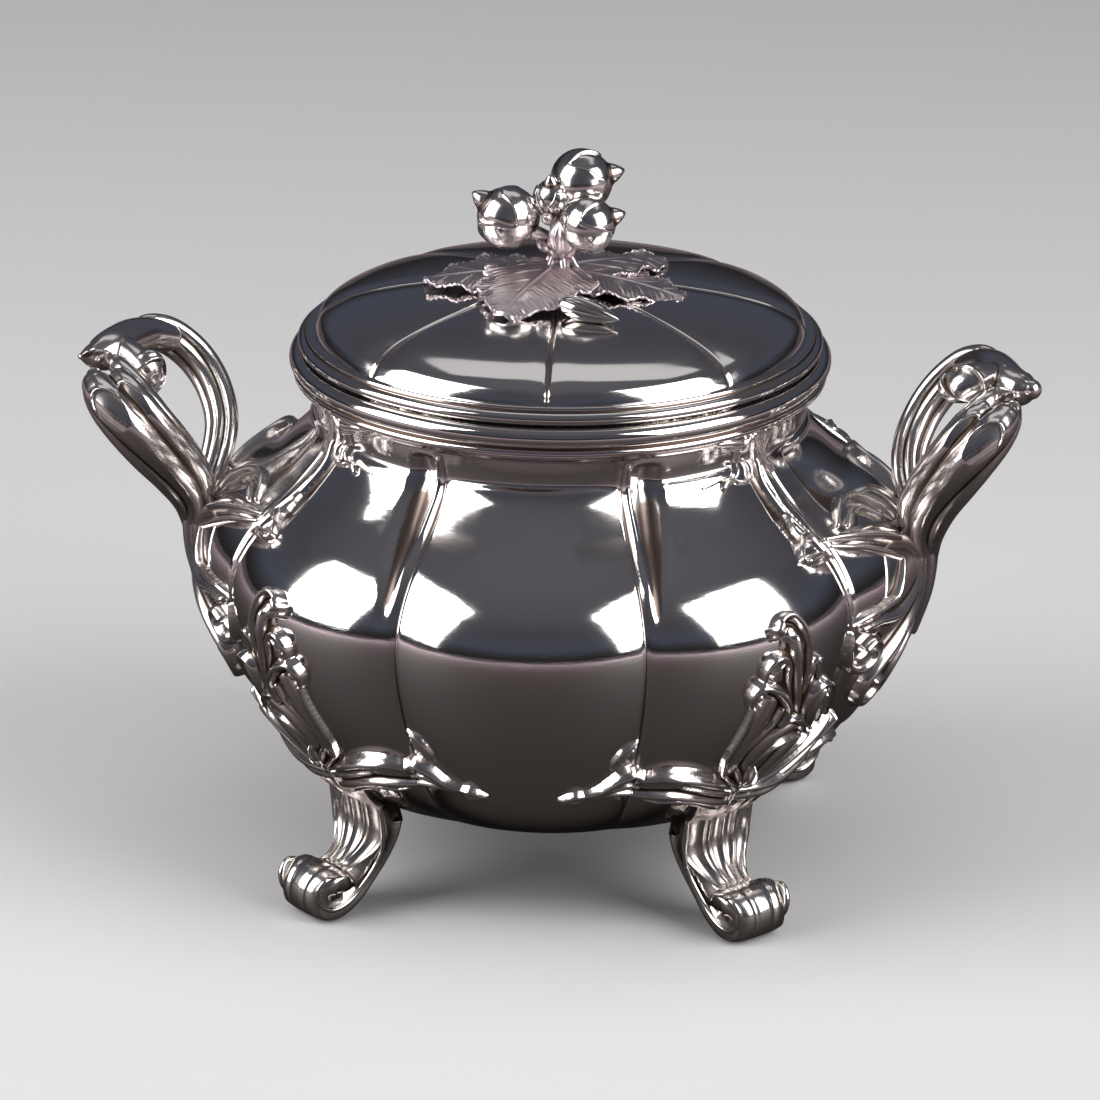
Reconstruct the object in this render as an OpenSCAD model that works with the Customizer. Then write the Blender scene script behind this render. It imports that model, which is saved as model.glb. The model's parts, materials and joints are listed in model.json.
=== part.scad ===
// Silver sugar bowl: a lobed covered bowl on four scroll feet, with two branch handles
// and a lift-off lid that carries a finial of leaves and nuts.
// Millimetres. +Z is up, the front faces -Y, and the two handles lie along X.
// z = 0 is the surface that the feet rest on, and the origin is on the bowl's axis.

/* [Bowl] */
// Radius of the creases between the lobes, at the widest part of the belly
belly_r = 73.4; // [72.6:0.2:74.2]
// How far the middle of a lobe stands out beyond its creases
lobe_bulge = 3.4; // [2.4:0.2:4]
// Thickness of the raised sheet
wall = 1; // [0.9:0.1:1.3]
// Half the width of the front and back lobes, in degrees
front_half = 20.4; // [18:0.4:23]
// Half the width of the two side lobes that carry the handles, in degrees
side_half = 27.9; // [25:0.3:30]
// Outer radius of the round neck at the mouth
mouth_r = 53.2; // [52.8:0.1:53.4]
// Height of the mouth's edge above the table
mouth_z = 113; // [112.6:0.2:113.4]

/* [Feet] */
// Azimuth of the front feet, from the front to each side
foot_az = 45; // [43:0.5:47]
// Width of a leg
leg_w = 14; // [12:0.5:15]
// Width of a toe
toe_w = 12.5; // [11:0.5:14]

/* [Handles] */
// Distance from the axis to the outer tip of a handle
handle_reach = 98; // [96:0.5:99]
// Radius of a branch at its root
branch_r = 3.6; // [3:0.1:3.8]

/* [Lid] */
// How far the lid is turned from square on the bowl, in degrees
lid_turn = 3.3; // [-45:0.1:45]
// Clearance between the lid and the bowl
lid_gap = 0.35; // [0.3:0.05:0.6]
// Thickness of the lid's sheet
lid_wall = 1; // [0.8:0.1:1.3]
// Depth of the creases in the lid
crease = 0.9; // [0.4:0.1:1.2]
// Depth of the ring that drops into the neck
bezel_h = 6; // [4:0.5:8]

/* [Finial] */
// Radius of the finial's threaded stud
stud_r = 2; // [1.6:0.1:2.4]
// Radius of the largest nut
bud_r = 6.4; // [5.8:0.1:6.6]

/* [Hidden] */

silver = [0.78, 0.76, 0.75];
bright = [0.86, 0.85, 0.84];
satin = [0.55, 0.5, 0.5];

lobe_div = 10;       // facets across one lobe
sink = 0.5;          // how far a soldered piece beds into the sheet
side_edge = 90 - side_half;
lobe_edges = [-front_half, front_half, side_edge, 180 - side_edge, 180 - front_half,
              180 + front_half, 180 + side_edge, 360 - side_edge, 360 - front_half];
neck_z = 98;
base_z = 19;

// Outline of a crease, as [radius, height], from the flat base to the mouth.
crease_outline = spline([[34, base_z], [46, 21.5], [56, 29], [64, 41], [belly_r - 3.4, 53],
    [belly_r, 65], [belly_r - 0.6, 73.5], [67.5, 82], [58, 90], [51.8, neck_z], [mouth_r, 106]], 2);
outer_outline = concat(crease_outline, [[mouth_r, mouth_z]]);
inner_outline = [for (i = [0:len(outer_outline) - 1]) inset(outer_outline, i, wall)];
height_table = [for (p = outer_outline) [p[1], p[0]]];

function unit(v) = v / norm(v);
function mix(a, b, t) = a * (1 - t) + b * t;
function cyl(r, a, z) = [r * sin(a), -r * cos(a), z];

// Smooth curve through points, with n steps to each span.
function spline(p, n) = concat(
    [for (i = [0:len(p) - 2]) for (k = [0:n - 1]) span_point(p, i, k / n)], [p[len(p) - 1]]);
function span_point(p, i, t) =
    let (a = p[max(i - 1, 0)], b = p[i], c = p[i + 1], d = p[min(i + 2, len(p) - 1)])
    (2 * b + (c - a) * t + (2 * a - 5 * b + 4 * c - d) * t * t
        + (3 * b - a - 3 * c + d) * t * t * t) / 2;

// Point of an outline moved in by d, square to the outline.
function inset(p, i, d) =
    let (t = unit(p[min(i + 1, len(p) - 1)] - p[max(i - 1, 0)]))
    i == 0 ? [p[0][0] - d / 2, p[0][1] + d]
    : i == len(p) - 1 ? [p[i][0] - d, p[i][1]]
    : [p[i][0] - d * t[1], p[i][1] + d * t[0]];

// Azimuths that run round the bowl, with one at each crease.
function lobe_azimuths() = [for (i = [0:7]) for (k = [0:lobe_div - 1])
    mix(lobe_edges[i], lobe_edges[i + 1], k / lobe_div)];
function across_lobe(a) =
    let (b = a < -front_half ? a + 360 : a >= 360 - front_half ? a - 360 : a,
         i = [for (k = [0:7]) if (b >= lobe_edges[k] && b < lobe_edges[k + 1]) k][0])
    2 * (b - lobe_edges[i]) / (lobe_edges[i + 1] - lobe_edges[i]) - 1;
function bulge(a, z) =
    let (h = max(0, min(1, (z - base_z + 2) / (neck_z + 5 - base_z + 2))))
    lobe_bulge * pow(sin(180 * h), 0.6) * (1 - pow(abs(across_lobe(a)), 2.2));
function bowl_r(a, z) = lookup(z, height_table) + bulge(a, z);

// Height of the bowl's underside at radius r, near the feet.
function under_z(r) = lookup(r - 1.3, [for (p = outer_outline) if (p[1] < 60) p]);

// Point at azimuth a and height z, d above the bowl's outer surface.
function on_bowl(a, z, d) =
    let (slope = atan2(lookup(z + 1, height_table) - lookup(z - 1, height_table), 2))
    cyl(bowl_r(a, z) + d * cos(slope), a, z - d * sin(slope));

// Solid skinned over rings of equal length. Each ring runs counter-clockwise about the
// direction from the first ring to the last.
module skin(rings, looped = false) {
    n = len(rings[0]);
    m = len(rings);
    walls = [for (i = [0:m - (looped ? 1 : 2)]) for (j = [0:n - 1])
        let (a = i * n + j, b = i * n + (j + 1) % n, k = (i + 1) % m * n)
        each [[a, k + j, k + (j + 1) % n], [a, k + (j + 1) % n, b]]];
    caps = looped ? [] : [[for (j = [0:n - 1]) j], [for (j = [n - 1:-1:0]) (m - 1) * n + j]];
    polyhedron([for (r = rings) for (p = r) p], concat(walls, caps));
}

// Rings along a path: w is the half-width along ref and h the half-height across it.
function section(c, t, ref, w, h, square, sides) =
    let (e = unit(ref - (ref * t) * t), f = cross(t, e))
    [for (k = [0:sides - 1])
        let (s = 360 * (k + 0.5) / sides, x = cos(s), y = sin(s))
        c + e * w * sign(x) * pow(abs(x), square) + f * h * sign(y) * pow(abs(y), square)];
function sweep_rings(path, ref, widths, heights, square = 1, sides = 10) =
    let (m = len(path) - 1)
    [for (i = [0:m])
        let (t = unit(path[min(i + 1, m)] - path[max(i - 1, 0)]), u = i / m)
        section(path[i], t, ref, along(widths, u), along(heights, u), square, sides)];
function along(v, u) =
    let (k = min(floor(u * (len(v) - 1)), len(v) - 2))
    mix(v[k], v[k + 1], u * (len(v) - 1) - k);

// Relief that lies on the bowl: one ring for each [azimuth, height, half-width, rise].
module relief(rows, cross_div = 6) {
    skin([for (r = rows) concat(
        [for (k = [0:cross_div]) let (s = 2 * k / cross_div - 1)
            on_bowl(r[0] + s * r[2], r[1], -sink + 0.2 + r[3] * (1 - s * s * 0.8))],
        [for (k = [cross_div:-1:0]) let (s = 2 * k / cross_div - 1)
            on_bowl(r[0] + s * r[2], r[1], -sink)])]);
}

// One quarter of the bowl's mounts: side is -1 on the left, end is -1 at the back.
module quarter(side, end) {
    mirror([side < 0 ? 1 : 0, 0, 0]) mirror([0, end < 0 ? 1 : 0, 0]) children();
}

module bowl_shell() {
    color(silver) skin(concat(
        [for (p = outer_outline) [for (a = lobe_azimuths()) cyl(p[0] + bulge(a, p[1]), a, p[1])]],
        [for (i = [len(inner_outline) - 1:-1:0]) let (p = inner_outline[i], q = outer_outline[i])
            [for (a = lobe_azimuths()) cyl(p[0] + bulge(a, q[1]), a, p[1])]]));
}

module bowl_rim() {
    roll_r = 2.1;
    color(bright) rotate_extrude($fn = 96) difference() {
        union() {
            translate([mouth_r, 106.4]) square([2.2, mouth_z - 106.4]);
            translate([mouth_r + 1.7, mouth_z - 1.9]) circle(r = roll_r, $fn = 32);
            translate([mouth_r, mouth_z - 6.2]) square([2.9, 1.6]);
        }
        translate([0, mouth_z]) square(100);
        translate([0, 90]) square([mouth_r, 40]);
        translate([mouth_r + 3.4, mouth_z - 5.8]) circle(r = 1.1, $fn = 24);
    }
}

module foot_leg() {
    out = cyl(1, foot_az, 0);
    across = cyl(1, foot_az + 90, 0);
    path = spline([[50.6, 19.6], [51.2, 15.5], [54, 10.8], [58.4, 7.2], [63.4, 5.5], [67.4, 5.8],
                   [69, 6.1]], 2);
    rings = sweep_rings([for (p = path) out * p[0] + [0, 0, p[1]]], across,
        [leg_w / 2, leg_w / 2, leg_w / 2 - 0.3, leg_w / 2 - 0.6, toe_w / 2, toe_w / 2, toe_w / 2 - 2],
        [2.4, 2.4, 2.7, 3.4, 5.9, 5, 3], 0.55, 12);
    top = [for (p = rings[0]) [p[0], p[1], under_z(norm([p[0], p[1]])) + sink]];
    color(silver) difference() {
        skin(concat([top], rings));
        translate([-100, -100, -10]) cube([200, 200, 10]);
    }
}

// Pointed leaf with curled edges that climbs from the top of a leg over the belly.
module foot_leaf() {
    color(silver) relief([[42, 25.5, 7.5, 1.6], [42, 29, 8, 3], [42.5, 33, 9, 3.6], [45.5, 39, 10.5, 3.8],
        [47.5, 46, 10.5, 3.2], [46.5, 53, 9, 3.2], [45.5, 60, 7.2, 3.4], [44.8, 67, 5.4, 3.4],
        [44.4, 72.5, 4, 3], [44.2, 76, 1.6, 1.4]]);
}

// Scrolled band that runs from the top of a leg towards the front, and ends in a small bud.
module foot_strap() {
    color(silver) relief_band([[34, 36.6], [29, 38.6], [25, 39.2], [21, 39.4], [18, 38.2],
        [15, 36.7], [12, 35.7], [9.2, 35.3], [6.8, 35.4]], [3.6, 3.2, 3.4, 2.6, 1.6, 1, 1.3, 0.7], 1.9);
}

// The shorter band on the other side of the leg, under the side lobe.
module foot_scroll() {
    color(silver) relief_band([[53, 30.5], [57, 31.5], [61, 33.4], [65, 35.2], [68.5, 36.2],
        [71.5, 36.6]], [3.4, 3, 2.6, 1.8, 0.8], 1.9);
}

// Rib that falls from the rim beside the crease of the side lobe.
module neck_scroll() {
    color(silver) relief_band([[52, 104.6], [56, 102.5], [57.6, 98.5], [58.4, 93], [59.4, 86],
        [60.4, 79], [61.2, 71], [61.8, 64]], [1.2, 1.5, 1.5, 1.4, 1.3, 1, 0.6], 1.3);
}

// Curled band on the shoulder of the side lobe, beside the handle's root.
module side_scroll() {
    color(silver) relief_band([[66.5, 84.4], [70, 85.6], [74, 86.4], [77.5, 86.2], [80.5, 84.4]],
        [0.7, 1.4, 1.7, 1.6, 1], 1.6);
}

// Band that follows [azimuth, height] points on the bowl with the given half-widths.
module relief_band(line, widths, rise) {
    flat = spline(line, 2);
    path = [for (p = flat) on_bowl(p[0], p[1], rise / 2 - sink / 2)];
    up = [for (p = flat) on_bowl(p[0], p[1], 10) - on_bowl(p[0], p[1], 0)];
    m = len(path) - 1;
    skin([for (i = [0:m])
        let (t = unit(path[min(i + 1, m)] - path[max(i - 1, 0)]), u = i / m)
        section(path[i], t, cross(up[i], t), along(widths, u), rise / 2 + sink / 2, 0.8, 8)]);
}

// Reeded strap that carries the two branches down onto the side lobe.
module handle_root() {
    root = [[76.4, 0, 80], [77.5, 0, 75], [77.9, 0, 69], [77.3, 0, 62], [75.4, 0, 55]];
    color(silver) skin(sweep_rings(spline(root, 3), [0, 1, 0], [5.4, 6.6, 6, 4.8, 2.4],
        [1.6, 1.8, 1.6, 1.5, 1.2], 0.8, 12));
}

// Shield of leaves and scrolls on the lower part of the side lobe.
module handle_shield() {
    color(silver) relief([[90, 38.5, 3, 1.4], [90, 42, 8, 2.2], [90, 47, 16, 2.4],
        [90, 53, 21, 2.4], [90, 59, 25, 2.2], [90, 64.5, 26, 2], [90, 70, 20, 1.8],
        [90, 74, 9, 1.4]], 12);
}

module branch(points, ends) {
    color(silver) skin(sweep_rings(spline(points, 3), [0.3, 0, -1], ends, ends, 1, 10));
}

// Front branch: rises outwards and stops in two rounded lobes under the tip.
module handle_front_branch() {
    reach = handle_reach;
    branch([[77.4, -3.8, 74.6], [75.8, -9, 81], [77.6, -16.4, 87.4], [82, -21, 93.8],
            [reach - 10, -20.4, 99.4], [reach - 4, -14.5, 102.6], [reach - 1, -8, 104]],
           [1.8, 3, branch_r, branch_r, branch_r, 3.4, 2.4]);
}

// Rear branch: rises steeply, then turns over the top towards the front.
module handle_rear_branch() {
    reach = handle_reach;
    branch([[77.4, 3.8, 75.4], [74.8, 9.4, 83], [75, 16, 91], [78, 21, 98.6], [83, 21.8, 104],
            [reach - 9.6, 17.4, 106.8]],
           [1.8, 3, branch_r, branch_r, branch_r, 3.5]);
}

// Curled leaf that closes the top of the rear branch, with a rounded nub on its inner side.
module handle_tip() {
    reach = handle_reach;
    tip_fn = 16;
    color(silver) {
        hull() {
            translate([reach - 9.2, 15, 106.9]) sphere(r = 3.7, $fn = tip_fn);
            translate([reach - 4, 5.5, 107.2]) sphere(r = 3.9, $fn = tip_fn);
            translate([reach + 1.6, -2.5, 105.6]) sphere(r = 1.8, $fn = tip_fn);
        }
        hull() {
            translate([reach - 5.5, 4, 106]) sphere(r = 3.8, $fn = tip_fn);
            translate([reach - 12, -2.5, 103]) sphere(r = 3.6, $fn = tip_fn);
        }
    }
}

// Lid: everything below turns with the lid.
lid_seat = mouth_z + lid_gap;
bezel_r = mouth_r - wall - lid_gap - 0.05;
dome_foot_r = 51.9;
dome_foot_z = lid_seat + 3.3;
dome_h = 11.6;
dome_outline = spline([[dome_foot_r, dome_foot_z], [51, dome_foot_z + 2.4],
    [48, dome_foot_z + 4.6], [42.5, dome_foot_z + 6.9], [33, dome_foot_z + 9],
    [20, dome_foot_z + 10.7], [8, dome_foot_z + 11.4], [stud_r + 0.3, dome_foot_z + dome_h]], 2);
lid_div = 8;

function crease_dip(a, r) = crease * pow(abs(cos(180 * a / 45)), 12) * min(1, r / 20);

module lid_dome() {
    turns = [for (k = [0:8 * lid_div - 1]) 360 * k / (8 * lid_div)];
    last = len(dome_outline) - 1;
    under = [for (i = [0:last]) let (p = dome_outline[i])
        i == 0 ? [p[0] - lid_wall, p[1]]
        : i == last ? [p[0], p[1] - lid_wall] : inset(dome_outline, i, lid_wall)];
    color(silver) rotate([0, 0, lid_turn]) skin(concat(
        [for (p = dome_outline) dome_ring(p, turns, p)],
        [for (i = [last:-1:0]) dome_ring(under[i], turns, dome_outline[i])]), true);
}

function dome_ring(p, turns, q) =
    let (free = q[1] > dome_foot_z && q[0] > stud_r + 1 ? 1 : 0)
    [for (a = turns) cyl(p[0], a, p[1] - free * crease_dip(a, q[0]))];

module lid_rim() {
    color(bright) rotate_extrude($fn = 96) difference() {
        union() {
            translate([bezel_r - 1.2, lid_seat]) square([54.2 - bezel_r + 1.2, 2.6]);
            translate([54, lid_seat + 1.5]) circle(r = 1.2, $fn = 32);
            translate([bezel_r - 1.2, lid_seat + 2]) square([52.9 - bezel_r + 1.2, 1.3]);
        }
        translate([0, lid_seat - 5]) square([100, 5]);
    }
}

module lid_bezel() {
    color(silver) rotate_extrude($fn = 96)
        translate([bezel_r - 1, lid_seat - bezel_h]) square([1, bezel_h]);
}

// Leaf plate: from the twig outwards at azimuth a, with lobes along its edge.
module leaf(a, reach, half_w, z0, droop) {
    rows = 12;
    across = 8;
    thick = 0.9;
    color(satin) rotate([0, 0, lid_turn + a]) skin([for (i = [0:rows])
        let (u = i / rows, y = 2.2 + (reach - 2.2) * u,
             w = half_w * (0.12 + pow(sin(180 * pow(u, 0.75) * 0.94 + 4), 0.8))
                 * (1 + 0.12 * cos(360 * 4 * u)))
        concat([for (k = [0:across]) leaf_point(2 * k / across - 1, w, y, u, z0, droop, 0)],
            [for (k = [across:-1:0]) leaf_point(2 * k / across - 1, w, y, u, z0, droop, thick)])]);
}
function leaf_point(s, w, y, u, z0, droop, lift) =
    [-s * w, -y, z0 + lift - droop * u * u - 0.9 * s * s + 0.5 * abs(s)];

module leaf_left() { leaf(-82, 28.6, 9.5, 129.4, 2.2); }
module leaf_front() { leaf(-22, 27.6, 11, 130.7, 3.4); }
module leaf_right() { leaf(72, 27, 9, 128.9, 3.2); }
module leaf_back() { leaf(126, 26, 8.5, 129.6, 2.8); }

module rod(a, b, r) {
    v = b - a;
    translate(a) rotate([0, acos(v[2] / norm(v)), atan2(v[1], v[0])])
        cylinder(r = r, h = norm(v), $fn = 24);
}

crown = [0, 0, 134.5];
// Centre, tip direction and radius of each nut.
nuts = [
    [[-11.2, -2.3, 141.4], [-0.72, -0.12, 0.55], bud_r],
    [[4, 4.4, 147.9], [0.9, 0.1, 0.25], bud_r],
    [[6.3, -4.6, 141.2], [0.93, 0.15, 0.3], bud_r - 0.8],
    [[-1.8, 1.2, 144.8], [-0.1, -0.35, 0.9], bud_r - 2.2],
];

// Short stem with one shoot to each nut.
module finial_twig() {
    stem_z = dome_foot_z + dome_h + 0.1;
    color(satin) {
        translate([0, 0, stem_z]) difference() {
            cylinder(r = 2.9, h = crown[2] - stem_z, $fn = 32);
            translate([0, 0, -1]) cylinder(r = stud_r, h = 4.4, $fn = 32);
        }
        translate(crown) sphere(r = 3.2, $fn = 32);
        for (n = nuts) rod(crown, nut_base(n), 1.5);
    }
}
function nut_base(n) = n[0] - unit(n[1]) * n[2] * 0.75;

// Nut: a round kernel with a point, sitting in a cup of bracts.
module nut(n) {
    r = n[2];
    d = unit(n[1]);
    color(bright) translate(n[0]) rotate([0, acos(d[2]), atan2(d[1], d[0])])
        rotate_extrude($fn = 40) intersection() {
            union() {
                circle(r = r, $fn = 40);
                polygon([[0, r * 0.7], [r * 0.62, r * 0.7], [r * 0.2, r * 1.28], [0, r * 1.45]]);
                translate([0, -0.12 * r]) intersection() {
                    circle(r = r * 1.06, $fn = 40);
                    translate([0, -2 * r]) square([2 * r, 1.9 * r]);
                }
            }
            translate([0, -2 * r]) square([2 * r, 4 * r]);
        }
}

// Closed pointed bud that lies on the lid in front of the leaves.
module bud_front() {
    color(bright) translate([3.2, -23.6, 129.6]) rotate([0, 98, -13])
        rotate_extrude($fn = 32) polygon(spline([[0, -1], [1.6, -0.4], [2.6, 3], [2.1, 7.5],
            [0.9, 10.8], [0, 12.2]], 3));
}

module finial_stud() {
    color(bright) translate([0, 0, 120.6]) cylinder(r = stud_r, h = 10.6, $fn = 32);
}

washer_z = dome_foot_z + dome_h - lid_wall - 1.4;
module finial_washer() {
    color(bright) translate([0, 0, washer_z]) difference() {
        cylinder(r = 5, h = 0.8, $fn = 32);
        translate([0, 0, -1]) cylinder(r = stud_r + 0.15, h = 3, $fn = 32);
    }
}

module finial_nut() {
    nut_h = 2.6;
    color(bright) translate([0, 0, washer_z - nut_h]) difference() {
        cylinder(r = 4, h = nut_h, $fn = 6);
        translate([0, 0, -1]) cylinder(r = stud_r, h = nut_h + 2, $fn = 32);
    }
}

bowl_shell();
bowl_rim();
quarter(-1, 1) foot_leg();  // foot_leg_front_left
quarter(1, 1) foot_leg();  // foot_leg_front_right
quarter(-1, -1) foot_leg();  // foot_leg_back_left
quarter(1, -1) foot_leg();  // foot_leg_back_right
quarter(-1, 1) foot_leaf();  // foot_leaf_front_left
quarter(1, 1) foot_leaf();  // foot_leaf_front_right
quarter(-1, -1) foot_leaf();  // foot_leaf_back_left
quarter(1, -1) foot_leaf();  // foot_leaf_back_right
quarter(-1, 1) foot_strap();  // foot_strap_front_left
quarter(1, 1) foot_strap();  // foot_strap_front_right
quarter(-1, -1) foot_strap();  // foot_strap_back_left
quarter(1, -1) foot_strap();  // foot_strap_back_right
quarter(-1, 1) foot_scroll();  // foot_scroll_front_left
quarter(1, 1) foot_scroll();  // foot_scroll_front_right
quarter(-1, -1) foot_scroll();  // foot_scroll_back_left
quarter(1, -1) foot_scroll();  // foot_scroll_back_right
quarter(-1, 1) neck_scroll();  // neck_scroll_front_left
quarter(1, 1) neck_scroll();  // neck_scroll_front_right
quarter(-1, -1) neck_scroll();  // neck_scroll_back_left
quarter(1, -1) neck_scroll();  // neck_scroll_back_right
quarter(-1, 1) side_scroll();  // side_scroll_front_left
quarter(1, 1) side_scroll();  // side_scroll_front_right
quarter(-1, -1) side_scroll();  // side_scroll_back_left
quarter(1, -1) side_scroll();  // side_scroll_back_right
quarter(-1, 1) handle_root();  // handle_root_left
quarter(1, 1) handle_root();  // handle_root_right
quarter(-1, 1) handle_shield();  // handle_shield_left
quarter(1, 1) handle_shield();  // handle_shield_right
quarter(-1, 1) handle_front_branch();  // handle_front_branch_left
quarter(1, 1) handle_front_branch();  // handle_front_branch_right
quarter(-1, 1) handle_rear_branch();  // handle_rear_branch_left
quarter(1, 1) handle_rear_branch();  // handle_rear_branch_right
quarter(-1, 1) handle_tip();  // handle_tip_left
quarter(1, 1) handle_tip();  // handle_tip_right
lid_dome();
lid_rim();
lid_bezel();
leaf_left();
leaf_front();
leaf_right();
leaf_back();
finial_twig();
nut(nuts[0]);  // nut_left
nut(nuts[1]);  // nut_top
nut(nuts[2]);  // nut_right
nut(nuts[3]);  // nut_small
bud_front();
finial_stud();
finial_washer();
finial_nut();
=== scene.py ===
"""Silver sugar bowl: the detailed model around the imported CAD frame.

Every shape is written in millimetres in the CAD frame (+Z up, front faces -Y) and becomes
metres when its mesh is made.  Azimuths are degrees from the front, growing to the right.
The ornament on the bowl is relief: strokes of height painted over the bowl's own surface.
The handles and the stem are rods and lobes fused by a voxel remesh.  Each casting is built
once and mirrored to the other quarters or sides.
"""
import json
import math

import bpy
import numpy as np
from mathutils import Matrix, Vector

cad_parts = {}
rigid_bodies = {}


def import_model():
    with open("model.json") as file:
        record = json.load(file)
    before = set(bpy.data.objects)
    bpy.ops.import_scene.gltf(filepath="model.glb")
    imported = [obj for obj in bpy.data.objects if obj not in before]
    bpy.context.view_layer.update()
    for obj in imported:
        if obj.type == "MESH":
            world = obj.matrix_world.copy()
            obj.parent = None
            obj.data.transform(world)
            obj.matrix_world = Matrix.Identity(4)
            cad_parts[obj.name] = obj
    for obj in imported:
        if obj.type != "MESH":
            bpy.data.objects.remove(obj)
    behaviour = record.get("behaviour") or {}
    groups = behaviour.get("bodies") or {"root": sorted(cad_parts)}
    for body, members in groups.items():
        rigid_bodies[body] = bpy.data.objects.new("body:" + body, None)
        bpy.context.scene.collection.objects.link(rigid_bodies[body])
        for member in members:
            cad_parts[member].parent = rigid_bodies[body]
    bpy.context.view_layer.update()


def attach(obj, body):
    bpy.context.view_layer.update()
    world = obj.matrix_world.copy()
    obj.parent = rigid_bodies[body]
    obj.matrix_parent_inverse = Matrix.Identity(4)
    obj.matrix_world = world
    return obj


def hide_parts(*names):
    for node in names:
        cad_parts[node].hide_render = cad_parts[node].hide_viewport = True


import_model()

MM = 0.001
# Fineness in millimetres of the fused castings and of the relief, and how many rounds of
# smoothing look for their hollows.
VOXEL, FUSED_REACH = ((0.27, 40))
STEP, RELIEF_REACH = ((0.25, 36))


# ---------------------------------------------------------------- curves and small helpers

def spline(points, n):
    """Catmull-Rom curve through the points, with n steps to each span."""
    p = np.asarray(points, float)
    q = np.concatenate([p[:1], p, p[-1:]])
    t = np.linspace(0, 1, n, endpoint=False)[:, None]
    spans = [0.5 * (2 * b + (c - a) * t + (2 * a - 5 * b + 4 * c - d) * t ** 2
                    + (3 * b - a - 3 * c + d) * t ** 3)
             for a, b, c, d in zip(q[:-3], q[1:-2], q[2:-1], q[3:])]
    return np.concatenate(spans + [p[-1:]])


def smooth(lo, hi, x):
    t = np.clip((np.asarray(x, float) - lo) / (hi - lo), 0, 1)
    return t * t * (3 - 2 * t)


def bell(x):
    return np.exp(-x ** 2)


def unit(v):
    return v / np.maximum(np.linalg.norm(v, axis=-1, keepdims=True), 1e-12)


def arc(cx, cz, r, start, end, n=10):
    a = np.radians(np.linspace(start, end, n))
    return np.stack([cx + r * np.cos(a), cz + r * np.sin(a)], -1)


def around(az, r, z):
    """Points at azimuth az, radius r and height z."""
    t = np.radians(az)
    return np.stack(np.broadcast_arrays(r * np.sin(t), -r * np.cos(t), z), -1)


# ---------------------------------------------------------------- the bowl's surface

# Radius and height along a crease, and the azimuths of all eight creases.
CREASE = spline([[34, 19], [46, 21.5], [56, 29], [64, 41], [70, 53], [73.4, 65], [72.8, 73.5],
                 [67.5, 82], [58, 90], [51.8, 98], [53.2, 106]], 12)
FRONT_CREASE, SIDE_CREASE = 20.4, 62.1
LOBES = np.array([-20.4, 20.4, 62.1, 117.9, 159.6, 200.4, 242.1, 297.9, 339.6])
BOTTOM_Z, SHOULDER_Z, NECK_Z, MOUTH_Z = 19.0, 98.2, 106.0, 113.0
NECK_RADIUS, BOWL_WALL = 53.2, 1.0
# How far the middle of a lobe stands out from its creases at most.
SWELL = 3.4


def across_lobe(az):
    """Place across the lobe: -1 at one crease, 0 in the middle and 1 at the next crease."""
    a = (np.asarray(az, float) + FRONT_CREASE) % 360 - FRONT_CREASE
    i = np.clip(np.searchsorted(LOBES, a, "right") - 1, 0, 7)
    return 2 * (a - LOBES[i]) / (LOBES[i + 1] - LOBES[i]) - 1


def quadrant(az):
    """Azimuth folded into the front right quarter, 0 at the front and 90 at the handle."""
    a = np.abs((np.asarray(az, float) + 180) % 360 - 180)
    return np.where(a > 90, 180 - a, a)


def bowl_radius(az, z):
    """Radius of the lobed wall before it is chased."""
    z = np.asarray(z, float)
    h = np.clip((z - 17) / 86, 0, 1)
    swell = SWELL * np.sin(np.pi * h) ** 0.6 * (1 - np.abs(across_lobe(az)) ** 2.2)
    swell = swell * (1 - smooth(SHOULDER_Z, SHOULDER_Z + 1.5, z))
    return np.interp(z, CREASE[:, 1], CREASE[:, 0]) + swell


def chasing(az, z):
    """Chased detail of the sheet: crease lines, the ribs beside them and the fluted channels."""
    q, z = quadrant(az), np.asarray(z, float)
    front, side = q - FRONT_CREASE, q - SIDE_CREASE

    def channel(off, deep):
        return deep * np.clip(1 - off * off, 0, None) ** 1.5

    # The crease lines, and the rib that rises beside the front crease.
    body = smooth(24, 34, z) * (1 - smooth(98, 104, z))
    d = -0.3 * body * (bell(front / 0.4) + bell(side / 0.4))
    rise = smooth(74, 92, z) * (1 - smooth(103, 104.4, z))
    d += 0.85 * rise * bell((front - 1.4) / 0.75)
    # The flute beside that rib, which widens upwards.
    climb = smooth(76, 97, z)
    deep = 1.9 * smooth(72, 92, z) * (1 - smooth(102.6, 104.2, z))
    d -= channel((front - (2.6 + 3.2 * climb)) / (1.2 + 2.5 * climb), deep)
    # The flute and the step on the shoulder, either side of the side crease.
    deep = 1.9 * smooth(81.5, 86, z) * (1 - smooth(96.5, 99, z))
    d -= channel((side - (-6.4 + 0.6 * smooth(83, 97, z))) / 3.4, deep)
    d -= 1.1 * smooth(68.2, 69.6, q) * smooth(85, 88, z) * (1 - smooth(97, 98.5, z))
    return d


def bowl_point(az, z, d=0.0):
    """Point d above the bowl's surface, measured square to it."""
    az, z, d = np.broadcast_arrays(*(np.asarray(v, float) for v in (az, z, d)))

    def at(a, h):
        return around(a, bowl_radius(a, h), h)

    n = unit(np.cross(at(az + 0.6, z) - at(az - 0.6, z), at(az, z + 0.6) - at(az, z - 0.6)))
    return at(az, z) + d[..., None] * n


# ---------------------------------------------------------------- shapes: (vertices, [faces])

def volume(shape):
    v, total = shape[0], 0.0
    for f in shape[1]:
        for k in range(1, f.shape[1] - 1):
            total += np.einsum("ij,ij->", v[f[:, 0]], np.cross(v[f[:, k]], v[f[:, k + 1]]))
    return total / 6


def outward(shape):
    if volume(shape) < 0:
        return shape[0], [f[:, ::-1] for f in shape[1]]
    return shape


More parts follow.
